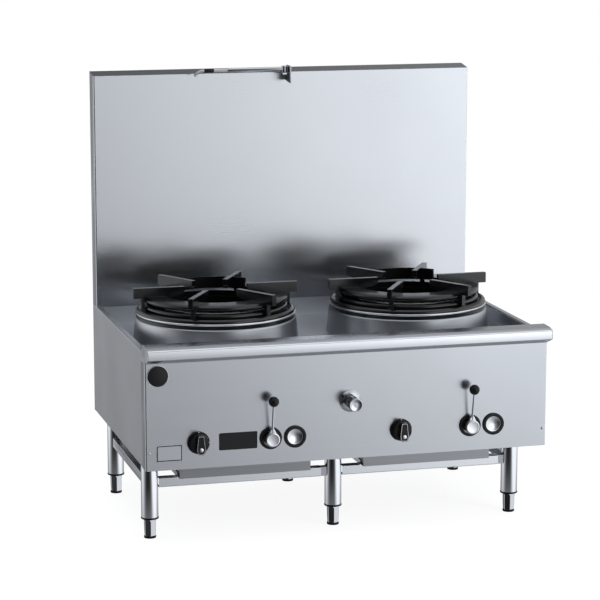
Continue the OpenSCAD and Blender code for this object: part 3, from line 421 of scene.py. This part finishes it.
def turned(outline, radii, steps, origin, axis="+Z", **options):
    """A lathe of an outline with rounded corners."""
    return lathe(round_corners(outline, radii, steps), origin, axis, **options)


def shrunk(outline, by):
    """An outline moved inwards by about the same distance everywhere: each point goes towards the middle."""
    p = np.array(outline)
    return (p * (1 - by / np.abs(p).max(0))).tolist()


def box_mm(node):
    low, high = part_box(node)
    return np.array(low) * 1000, np.array(high) * 1000


def piece(name, parts, metal, body, replaces=(), bevel=0.0, sharp=35.0):
    """A finished object from parts, riding a CAD body.

    bevel is a width in metres that is always more than there is room for. The modifier's overlap clamp
    holds it to what the piece's edges allow, so any number above that gives the same rounding.
    """
    starts = np.cumsum([0] + [len(points) for points, _, _ in parts[:-1]])
    points = np.concatenate([points for points, _, _ in parts])
    corners = np.concatenate([corners + start for (_, corners, _), start in zip(parts, starts)])
    sizes = np.concatenate([sizes for _, _, sizes in parts])
    mesh = bpy.data.meshes.new(name)
    mesh.vertices.add(len(points))
    mesh.vertices.foreach_set("co", points.astype(np.float32).ravel())
    mesh.loops.add(len(corners))
    mesh.loops.foreach_set("vertex_index", corners.astype(np.int32))
    mesh.polygons.add(len(sizes))
    mesh.polygons.foreach_set("loop_start", (np.cumsum(sizes) - sizes).astype(np.int32))
    mesh.update(calc_edges=True)
    work = bmesh.new()
    work.from_mesh(mesh)
    bmesh.ops.recalc_face_normals(work, faces=work.faces)
    work.to_mesh(mesh)
    work.free()
    mesh.shade_smooth()
    mesh.set_sharp_from_angle(angle=math.radians(sharp))
    mesh.materials.append(MATERIALS[metal])
    obj = bpy.data.objects.new(name, mesh)
    bpy.context.scene.collection.objects.link(obj)
    if bevel:
        mod = obj.modifiers.new("edges", "BEVEL")
        mod.width = bevel
        mod.segments = 2
        mod.limit_method = "ANGLE"
        mod.angle_limit = math.radians(40)
        mod.harden_normals = True
    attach(obj, body)
    if replaces:
        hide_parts(*replaces)


# Planes and centres, from the CAD boxes
SHEET = 1.5
panel_low, panel_high = box_mm("front_panel")
half_w, front_y, body_z, panel_top = panel_high[0], panel_low[1], panel_low[2], panel_high[2]
rail_low, rail_high = box_mm("front_rail")
side_top = box_mm("left_side_panel")[1][2]
splash_low, splash_high = box_mm("splashback_skin")
collar_low, collar_high = box_mm("left_collar")
deck_z, collar_top = collar_low[2], collar_high[2]
burner_y = (collar_low[1] + collar_high[1]) / 2
collar_r = (collar_high[0] - collar_low[0]) / 2
burner_x = {"left": (collar_low[0] + collar_high[0]) / 2}
burner_x["right"] = -burner_x["left"]
knob_low, knob_high = box_mm("left_knob")
knob_x = (knob_low[0] + knob_high[0]) / 2 - burner_x["left"]
control_z = (knob_low[2] + knob_high[2]) / 2

# Front rail: one bullnose section with closed ends
NOSE_R, RAIL_BACK, CHEEK_BACK = 16, 75, 52
rail_back, cheek_back = rail_low[1] + RAIL_BACK, front_y + CHEEK_BACK
rail_front = [(rail_back, rail_high[2]), (rail_low[1] + 24, rail_high[2] - 1), (rail_low[1], rail_high[2] - 6.5),
              (rail_low[1], rail_high[2] - 33.5), (front_y, panel_top)]
rail_section = round_corners([(rail_back, deck_z)] + rail_front, [0, 2, NOSE_R, 5, 3, 0], 8)
cheek = round_corners(rail_front + [(cheek_back, panel_top), (cheek_back, side_top)], [2, NOSE_R, 5, 3, 0, 0, 0], 8)
piece("front_rail_skin", [
    slab(rail_section, SHEET - half_w, half_w - SHEET, axis="+X"),
    slab(cheek, -half_w, SHEET - half_w, axis="+X"),
    slab(cheek, half_w - SHEET, half_w, axis="+X")],
    "brushed_steel", "range_body", ["front_rail"], 0.3, 30)

# Burners: cone collar, cast ring with its bright trim, and riser ring
MOUTH_R, RING_IN_R, BURNER_N = 226.0, 190, 128
for side, x in burner_x.items():
    at = (x, burner_y, 0)
    lip_r, rings_body = MOUTH_R - 2, side + "_rings"
    cone = turned([
        (lip_r, deck_z), (collar_r, deck_z), (239.5, collar_top), (lip_r, collar_top),
        (lip_r, collar_top - SHEET), (237.6, collar_top - SHEET), (collar_r - 1.7, deck_z + SHEET),
        (lip_r, deck_z + SHEET)], [0, 1.2, 8, 0, 0, 6.5, 0, 0], 8, at, n=BURNER_N)
    piece(side + "_collar_cone", [cone], "turned_steel", "range_body", [side + "_collar"])
    # heights from here on are above the collar's top
    at = (x, burner_y, collar_top)
    trim = arc(236.3, 12.2, 3.3, -90, 90) + [(234, 15), (234, 9.5)]
    piece(side + "_ring_trim", [lathe(trim, at, n=BURNER_N)], "polished_steel", rings_body)
    ring = [(RING_IN_R, 22), (218.4, 22)] + arc(227, 18, 9.5, 155, 0, 22) + [
        (236.5, 7), (238.4, 6), (238.4, 0.3), (222, 0.3), (222, -10), (214, -10), (214, 6), (RING_IN_R, 6)]
    piece(side + "_ring_casting", [lathe(ring, at, n=BURNER_N)], "cast_iron", rings_body,
          [side + "_burner_ring"], 0.6)
    riser = [(RING_IN_R, 22), (206, 22)] + arc(206, 31, 9, -90, 90) + [(RING_IN_R + 1, 40), (RING_IN_R, 39)]
    piece(side + "_riser_casting", [lathe(riser, at, n=BURNER_N)], "cast_iron", rings_body,
          [side + "_riser_ring"])

# Trivets: ring with a flat lip, six arms round an open middle, feet, and a low web. The web and a black liner over
# the back of the lip's inner face are in black_iron, painted shade that keeps the trivet's middle black
ARM_COUNT, ARM_IN_R, ARM_END_H, LIP_IN_R = 6, 96, 31, 150
trivet_low, trivet_high = box_mm("left_trivet")
arm_top, foot_z = trivet_high[2], trivet_low[2]
arm_r = (trivet_high[0] - trivet_low[0]) / 2
rim_z, rim_top = foot_z + 19, foot_z + 37
rim = [(LIP_IN_R, rim_top - 8), (195, rim_top - 8), (196, rim_z)] + arc(207, rim_z + 9, 9, -90, 90)
rim += [(LIP_IN_R + 1, rim_top), (LIP_IN_R, rim_top - 1)]
# the arm's underside rises inwards on a quarter of an ellipse, 60 long and 17 high
curve = np.linspace(math.pi / 2, 0, 13)
under = np.column_stack([ARM_IN_R + 60 * (1 - np.cos(curve)), arm_top - 14 - 17 * np.sin(curve)]).tolist()
arm = slab([(ARM_IN_R, arm_top), (arm_r, arm_top), (arm_r, arm_top - ARM_END_H)] + under, -7.75, 7.75, axis="-Y")
foot = cuboid((206, -7.5, rim_z + 1), (227, 7.5, arm_top - 30))
toe = cuboid((216.5, -7.5, foot_z), (227, 7.5, rim_z + 1))
web = [(146, rim_top - 2), (152, rim_top - 2), (152, arm_top - 1), (146, arm_top - 1)]
# the liner is a black sheet over the back of the lip's inner face: painted shade where that face lies in shade
painted_shade_liner = [(147.6, rim_top - 9), (149.9, rim_top - 9), (149.9, rim_top - 0.7), (147.6, rim_top - 0.7)]
for side, x in burner_x.items():
    at, stand = (x, burner_y, 0), side + "_pot_stand"
    piece(side + "_trivet_web_painted_shade", [lathe(web, at, n=30, start=40, turn=80), lathe(painted_shade_liner, at, n=64, turn=180)],
          "black_iron", stand)
    parts = [lathe(rim, (0, 0, 0), n=BURNER_N)]
    for i in range(ARM_COUNT):
        parts += placed([arm, foot, toe], (0, 0, 0), 360 / ARM_COUNT * i)
    piece(side + "_trivet_casting", placed(parts, at), "cast_iron", stand, [side + "_trivet"], 1.1)

# Knobs on round bezels
BEZEL_R, BEZEL_T, MARK_R, RIB_COUNT = 32.5, 5, 30.6, 24
bezel = round_corners([(9, 0), (BEZEL_R, 0), (BEZEL_R, BEZEL_T), (9, BEZEL_T)], [0, 0, 1.6, 0], 5)
grip = round_corners([(-8.7, 27), (8.7, 27), (13.4, -14), (9.5, -27.4), (-9.5, -27.4), (-13.4, -14)],
                     [3.5, 3.5, 6, 7, 7, 6], 5)
skirt = round_corners([(0, 0.5), (28, 0.5), (26.6, 17), (0, 17)], [0, 0.8, 2.5, 0], 5)
rib = round_corners([(0, 1), (1.1, 1), (1.0, 15.5), (0, 15.5)], [0, 0, 0.6, 0], 2)
bezels, marks = [], []


def round_panel(centre, r, degrees):
    """The point on a circle round centre on the panel: x + r*cos(a), z + r*sin(a)."""
    a = math.radians(degrees)
    return centre[0] + r * math.cos(a), centre[1], centre[2] + r * math.sin(a)


for side, x in burner_x.items():
    face = (x + knob_x, front_y - BEZEL_T, control_z)
    bezels.append(lathe(bezel, (face[0], front_y, control_z), "-Y", n=64))
    marks += [lathe([(0, -0.3), (1.4, -0.3), (1.4, 0.25), (0, 0.25)], round_panel(face, MARK_R, a), "-Y", n=16,
                    closed=False) for a in (90, 0)]
    ribs = [lathe(rib, round_panel(face, 26.9, 360 / RIB_COUNT * i), "-Y", n=8, closed=False)
            for i in range(RIB_COUNT)]
    piece(side + "_knob_body", [
        lathe(skirt, face, "-Y", n=72, closed=False), slab(grip, 15, 33, face, "-Y"),
        slab(shrunk(grip, 2.4), 32, 33.35, face, "-Y")] + ribs,
        "black_plastic", side + "_control", [side + "_knob"], 0.7)
    piece(side + "_knob_trim", [
        slab(shrunk(grip, 1.5), 32, 33.15, face, "-Y"),
        turned([(0, 32), (6, 32), (6, 34.2), (0, 34.2)], [0, 0, 0.8, 0], 3, round_panel(face, 13.6, -90), "-Y",
               n=32, closed=False)],
        "polished_steel", side + "_control")
piece("knob_bezel_discs", bezels, "black_plastic", "range_body", ["knob_bezels"])
piece("knob_marks", marks, "white_mark", "range_body")

# Levers, balls, round bezels and sight ports
lever_low, lever_high = box_mm("left_lever")
lever_x = (lever_low[0] + lever_high[0]) / 2 - burner_x["left"]
ball_low, ball_high = box_mm("left_lever_ball")
ball_at = (ball_low + ball_high) / 2
ball_r = (ball_high[2] - ball_low[2]) / 2
PORT_R, DISH_R, DISH_DEPTH = 22.8, 70, 3.4
port_x = box_mm("sight_covers")[1][0] - PORT_R - burner_x["right"]
ring_section = round_corners([(23, 0), (BEZEL_R, 0), (BEZEL_R, BEZEL_T), (23, BEZEL_T)], [0, 0, 1.6, 0.8], 5)
# half the angle of the slot, 10 wide, that lets the lever through a bezel of mean radius 27.75
slot_half = math.degrees(math.asin(5 / 27.75))
boss = [(0, 0), (21, 0), (21, 27), (17.5, 28), (16.5, 26.8), (0, 26.8)]
neck = round_corners([(-16, 10), (16, 10), (4.2, 33), (-4.2, 33)], [0, 0, 3.5, 3.5], 5)
sphere = [(0, 0.6 - ball_r), (5, 0.6 - ball_r)] + arc(0, 0, ball_r, -66, 90, 20)
dish_r = np.linspace(21.5, 0, 14)
dish = [(0, -4), (PORT_R, -4), (PORT_R, 1.6), (22.3, 2)] + np.column_stack(
    [dish_r, 2 - DISH_DEPTH + DISH_R - np.sqrt(DISH_R ** 2 - dish_r ** 2)]).tolist()
rings, covers = [], []
for side, x in burner_x.items():
    hub, port = (x + lever_x, front_y, control_z), (x + port_x, front_y, control_z)
    along = np.linspace(0, 1, 9)[:, None]
    rod_low, rod_high = np.array((hub[0], front_y - 20, control_z + 17)), np.array((hub[0], *ball_at[1:]))
    rod = tube(rod_low + (rod_high - rod_low) * along, (3.5 - along).ravel(), 20)
    piece(side + "_lever_handle_metal", [
        turned(boss, [0, 0, 1.2, 0.4, 0.4, 0], 4, hub, "-Y", n=64, closed=False),
        slab(neck, 12, 24, hub, "-Y"), rod],
        "polished_steel", side + "_lever_handle", [side + "_lever"], 0.8)
    piece(side + "_ball_grip", [lathe(sphere, tuple(rod_high), n=40, closed=False)],
          "black_plastic", side + "_lever_handle", [side + "_lever_ball"])
    rings += [lathe(ring_section, hub, "-Y", n=64, start=90 + slot_half, turn=360 - 2 * slot_half),
              lathe(ring_section, port, "-Y", n=64)]
    covers.append(lathe(dish, port, "-Y", n=64, closed=False))
piece("round_bezel_rings", rings, "black_plastic", "range_body", ["round_bezels"])
piece("sight_port_dishes", covers, "polished_steel", "range_body", ["sight_covers"])

# Water tap: flange, and a handle with eight soft lobes. Each row is (radius, height, lobe depth).
tap_low, tap_high = box_mm("tap_flange")
tap_at = (0, front_y, (tap_low[2] + tap_high[2]) / 2)
flange = turned([(0, 0), (32.5, 0), (32.5, 2.6), (25, 8), (0, 8)], [0, 0, 1.0, 2.0, 0], 5, tap_at, "-Y", n=72,
                closed=False)
piece("tap_flange_disc", [flange], "chrome", "range_body", ["tap_flange"])
reach = front_y - box_mm("tap_handle")[0][1]
handle = [(0, 8.5, 0), (11, 8.5, 0), (11.5, 9, 0), (11.5, 15, 0), (13, 17, 0), (18, 19, 0.02), (19.5, 21, 0.1),
          (20, 24, 0.14)]
handle += [(r, reach - below, depth) for r, below, depth in (
    (20, 12, 0.14), (19.6, 9, 0.12), (18.6, 7, 0.05), (18.4, 6, 0), (19.6, 5.4, 0), (20, 4.6, 0), (20, 1.4, 0),
    (19.4, 0.4, 0), (18.4, 0, 0), (17, 0.2, 0), (15.6, 0.9, 0), (6, 0.9, 0), (0, 0.9, 0))]
piece("tap_handle_lobed", [lobed(handle, tap_at, 8)], "chrome", "tap", ["tap_handle"])

# Water arm on the splashback: bracket, barrel, a thick then a thin tube, a bent spout and a grip
THIN_R, SPOUT_R, SPOUT_BEND, THICK_END = 5.5, 4.5, 34.0, -180
bracket_low, bracket_high = box_mm("faucet_bracket")
arm_low, arm_high = box_mm("swing_arm")
sleeve_low, sleeve_high = box_mm("arm_grip")
pivot = (-10.0, (arm_low[1] + arm_high[1]) / 2, (sleeve_low[2] + sleeve_high[2]) / 2)
plate = [(splash_low[1], bracket_low[2] + 7), (bracket_low[1], bracket_low[2]), (bracket_low[1], bracket_high[2]),
         (splash_low[1] - 21, bracket_high[2]), (splash_low[1], bracket_high[2] - 30)]
piece("faucet_bracket_plate", [
    slab(round_corners(plate, [0, 3, 3, 3, 0], 5), 0, 6, axis="+X"),
    cuboid((pivot[0] - 9, pivot[1] - 9, pivot[2] - 18), (0, pivot[1] + 9, pivot[2] - 10)),
    lathe([(0, 0), (4, 0), (4, 17), (0, 17)], (pivot[0], pivot[1], pivot[2] - 10), n=32, closed=False)],
    "chrome", "range_body", ["faucet_bracket"], 0.6)
barrel = turned([(0, -10), (9, -10), (9, 10), (0, 10)], [0, 1.0, 2.5, 0], 5, pivot, n=40, closed=False)
thin_end, spout_start = sleeve_high[0], sleeve_low[0]
steps = np.array((-1, THICK_END + 2, THICK_END, THICK_END, thin_end - pivot[0]))
thick = tube(np.array(pivot) + steps[:, None] * (1, 0, 0), (7.0, 7.0, 6.4, THIN_R, THIN_R), 32)
# the spout bends down through 60 degrees: x - bend*sin(a), z - bend*(1 - cos(a))
a = np.radians(np.linspace(5, 60, 12))[:, None]
bent = np.array((spout_start, *pivot[1:])) - SPOUT_BEND * np.hstack([np.sin(a), 0 * a, 1 - np.cos(a)])
spout = np.vstack([(thin_end, *pivot[1:]), (spout_start, *pivot[1:]), bent])
piece("water_arm_tube", [barrel, thick, tube(spout, [SPOUT_R] * len(spout), 28)],
      "chrome", "water_arm", ["swing_arm"])
sleeve_l = thin_end - spout_start
sleeve = turned([(4.6, 0), (6.5, 0), (6.5, sleeve_l), (4.6, sleeve_l)], [0, 0.8, 0.8, 0], 4,
                (spout_start, *pivot[1:]), "+X", n=32)
piece("water_arm_grip", [sleeve], "black_plastic", "water_arm", ["arm_grip"])

# Legs, plugs and feet. The feet are six-sided and stand on rubber pads.
LEG_R, PLUG_H, HEX_TURN = 25.0, 5, 25.5
leg_low, leg_high = box_mm("legs")
leg_x, foot_top = leg_high[0] - LEG_R, leg_low[2] - PLUG_H
leg_rows = {"front": leg_low[1] + LEG_R, "rear": leg_high[1] - LEG_R}
leg_cols = {"left": -leg_x, "middle": 0.0, "right": leg_x}
wall = round_corners([(23.5, foot_top), (23.5, leg_high[2]), (LEG_R, leg_high[2]), (LEG_R, leg_low[2]),
                      (23.6, leg_low[2])], [0, 0, 0, 0.7, 0], 3)
plug = round_corners([(6.1, foot_top), (26.2, foot_top), (26.2, leg_low[2]), (23.4, leg_low[2]),
                      (23.4, foot_top + 37), (6.1, foot_top + 37)], [0, 1.4, 1.4, 0, 1, 0], 4)
hexagon = [(17.6, 5), (18.6, 22), (19.5, 52), (19.5, foot_top - 2.5), (17.8, foot_top - 0.3)]
stem = [(0, 4), (6, 4), (6, foot_top + 52), (0, foot_top + 52)]
pad = round_corners([(0, 0), (17.6, 0), (18, 5.2), (0, 5.2)], [0, 1.0, 0.5, 0], 3)
tubes, plugs = [], []
for row, y in leg_rows.items():
    for col, x in leg_cols.items():
        at, name, body = (x, y, 0), f"{row}_{col}_foot", f"{row}_{col}_leg_foot"
        tubes.append(lathe(wall, at, n=64))
        plugs.append(lathe(plug, at, n=64))
        piece(name + "_hex", [lathe(hexagon, at, n=6, closed=False, start=HEX_TURN),
                              lathe(stem, at, n=24, closed=False)],
              "chrome", body, [name], 0.7)
        piece(name + "_pad", [lathe(pad, at, n=40, closed=False)], "black_rubber", body)
piece("leg_tubes", tubes, "leg_steel", "range_body", ["legs"])
piece("leg_plug_rings", plugs, "black_plastic", "range_body", ["leg_plugs"])

# Plain plates: a round badge, and small and dark plates as (x0, x1, z, height)
badge_at = (37 - half_w, front_y, side_top - 66)
badge = turned([(0, 0), (30.2, 0), (30.2, 1.8), (0, 1.8)], [0, 0, 0.5, 0], 3, badge_at, "-Y", n=64, closed=False)
badge_rim = turned([(29.6, 0), (31, 0), (31, 2), (29.6, 2)], [0, 0, 0.5, 0.4], 3, badge_at, "-Y", n=64)
small = (-569.0, -493.5, control_z - 26, 48.0)
dark = (-387.5, -275.5, control_z - 2, 50.0)


def plate_shape(size, r, low, high, inset=0.0):
    """A rectangle with rounded corners on the panel, from low to high in front of it."""
    x0, x1, z, h = size
    left, right, bottom, top = x0 + inset, x1 - inset, z - h / 2 + inset, z + h / 2 - inset
    outline = [(left, bottom), (right, bottom), (right, top), (left, top)]
    return slab(round_corners(outline, [max(r - inset, 0.3)] * 4, 5), low, high, (0, front_y, 0), "-Y")


for name, part, metal, replaced, bevel in (
        ("badge_disc", badge, "dark_plate", ["blank_plates"], 0.0),
        ("badge_rim", badge_rim, "polished_steel", (), 0.0),
        ("small_plate", plate_shape(small, 1.0, 0, 0.8), "pale_plate", (), 0.2),
        ("small_plate_border", plate_shape(small, 1.0, 0.7, 0.86, 1.6), "black_plastic", (), 0.0),
        ("small_plate_face", plate_shape(small, 1.0, 0.7, 0.95, 4.2), "pale_plate", (), 0.0),
        ("dark_plate_blank", plate_shape(dark, 4.0, 0, 0.9), "dark_plate", (), 0.25)):
    piece(name, [part], metal, "range_body", replaced, bevel)

# Domed screws on the panel and in four rows of five on the back
SCREW_R = 4
dome = [(0, 0), (SCREW_R, 0)] + arc(0, 0, SCREW_R, 8, 90, 7)
screws = [lathe(dome, (x, front_y, control_z - 23), "-Y", n=20, closed=False) for x in (11 - half_w, half_w - 11)]
screws += [lathe(dome, (k * (half_w - 30) / 2, splash_high[1], z), "+Y", n=20, closed=False)
           for z in (body_z + 30, side_top - 30, side_top + 40, splash_low[2] + 673) for k in range(-2, 3)]
piece("domed_screws", screws, "polished_steel", "range_body", ["panel_screws"])


# Floor
def floor_white(name, shadow):
    """Pale floor: white to camera and glass rays but for a share of its shadow. Gloss rays pass to the studio."""
    made = bpy.data.materials.new(name)
    made.use_nodes = True
    tree = made.node_tree
    tree.nodes.clear()
    glow = add(tree, "Emission", {"Strength": 1.12})
    matt = add(tree, "BsdfDiffuse", {"Color": (0.86, 0.86, 0.86, 1.0)})
    clear = add(tree, "BsdfTransparent")
    path = add(tree, "LightPath")
    seen = either(tree, path, "Is Camera Ray", "Is Transmission Ray")
    shown = joined(tree, maths(tree, "MULTIPLY", seen, 1.0 - shadow), matt, glow)
    add(tree, "OutputMaterial", {"Surface": (joined(tree, (path, "Is Glossy Ray"), shown, clear), "Shader")})
    return made


FLOOR_HALF = 9
floor_mesh = bpy.data.meshes.new("floor")
floor_mesh.from_pydata([(x * FLOOR_HALF, y * FLOOR_HALF, 0) for x, y in ((-1, -1), (1, -1), (1, 1), (-1, 1))],
                       [], [(0, 1, 2, 3)])
floor_mesh.materials.append(floor_white("floor_white", 0.2))
floor = bpy.data.objects.new("floor", floor_mesh)
bpy.context.scene.collection.objects.link(floor)

# World: white to camera and glass rays, a studio to gloss rays, and even light to the rest
world = bpy.data.worlds.new("studio")
bpy.context.scene.world = world
world.use_nodes = True
tree = world.node_tree
tree.nodes.clear()
path = add(tree, "LightPath")
way = add(tree, "TexCoord"), "Generated"


def background(*colour):
    return add(tree, "Background", {"Color": (*colour, 1.0)})


def facing(*direction):
    """How far a ray runs along a direction, from -1 to 1."""
    return add(tree, "VectorMath", {0: way, 1: direction}, operation="DOT_PRODUCT"), "Value"


def stepped(value, stops):
    """A curve through (value from -1 to 1, strength from 0 to 2) stops, the first at -1."""
    ramp = add(tree, "ValToRGB", {"Fac": maths(tree, "MULTIPLY_ADD", value, 0.5, 0.5)})
    line = ramp.color_ramp.elements
    for at, strength in stops:
        mark = line[0] if at == -1 else line.new((at + 1) / 2)
        mark.color = (strength / 2, strength / 2, strength / 2, 1.0)
    line[-1].color = mark.color
    return maths(tree, "MULTIPLY", (ramp, "Color"), 2.0)


# Two broad bright sides (the 4th power of how far a ray runs along them) and a softer light behind
sides = maths(tree, "POWER", maths(tree, "ABSOLUTE", facing(0.848, -0.53, 0.0)), 4.0)
sides = maths(tree, "MULTIPLY_ADD", sides, 2.5, 0.03)
behind = maths(tree, "POWER", maths(tree, "MAXIMUM", facing(0.8, 0.6, 0.0), 0.0), 2.0)
level = maths(tree, "MULTIPLY_ADD", behind, 0.4, sides)
# brightness by height, a shade at the back left, and more light to the right, held under 1.35
height = facing(0.0, 0.0, 1.0)
level = maths(tree, "MULTIPLY", level, stepped(height, [
    (-1, 0.35), (-0.5, 0.5), (-0.3, 0.86), (-0.22, 1.0), (-0.1, 1.08), (0.02, 1.1), (0.17, 1.4), (0.4, 0.8)]))
level = maths(tree, "MULTIPLY", level, ranged(tree, facing(-0.3, 0.95, 0.0), 0.5, 0.95, 1.0, 0.64))
level = maths(tree, "MULTIPLY", level, ranged(tree, facing(1.0, 0.0, 0.0), 0.17, 0.34, 0.66, 1.3))
level = maths(tree, "MINIMUM", level, 1.35)
# then a glow at the right front, light from far below, and light from overhead
for extra in (ranged(tree, facing(0.423, -0.906, 0.0), 0.958, 0.988, 0.0, 1.1),
              ranged(tree, height, -0.38, -0.65, 0.0, 0.35), ranged(tree, height, 0.5, 0.95, 0.0, 1.3)):
    level = maths(tree, "ADD", level, extra)
white, room, studio = background(1.0, 1.0, 1.0), background(0.62, 0.64, 0.67), background(0.965, 0.98, 1.0)
link(tree, level, studio, "Strength")
rest = joined(tree, (path, "Is Glossy Ray"), room, studio)
final = joined(tree, either(tree, path, "Is Camera Ray", "Is Transmission Ray"), rest, white)
add(tree, "OutputWorld", {"Surface": (final, "Shader")})


# Lamps and camera
def softbox(name, at, aim, size, watts):
    """A soft area lamp for matt surfaces and shadows, pointing from at to aim."""
    data = bpy.data.lights.new(name, "AREA")
    data.shape = "RECTANGLE"
    data.size, data.size_y = size
    data.energy = watts
    lamp = bpy.data.objects.new(name, data)
    x, y, z = np.array(aim, float) - np.array(at, float)
    lamp.location = at
    lamp.rotation_euler = (math.acos(-z / math.hypot(x, y, z)), 0.0, math.atan2(-x, y))
    lamp.visible_camera = False
    lamp.visible_glossy = False
    bpy.context.scene.collection.objects.link(lamp)


softbox("softbox_right", (2.3, -2.6, 1.9), (0.3, 0.2, 0.8), (1.4, 1.8), 50)
softbox("softbox_top", (-0.6, -1.2, 3.2), (0.0, 0.0, 0.6), (2.2, 2.2), 40)

# The photo's camera, found from the panel's corners, the splashback's edges and the feet
CAMERA_DOWN, CAMERA_RIGHT = 10.4413, 15.1755
camera_data = bpy.data.cameras.new("photo_view")
camera_data.lens = 142.70
camera_data.sensor_width = 36.0
camera = bpy.data.objects.new("photo_view", camera_data)
camera.location = (-1.88377, -6.76638, 1.93609)
camera.rotation_euler = (math.radians(90 - CAMERA_DOWN), 0.0, math.radians(-CAMERA_RIGHT))
bpy.context.scene.collection.objects.link(camera)
bpy.context.scene.camera = camera
bpy.context.scene.view_settings.view_transform = "Standard"
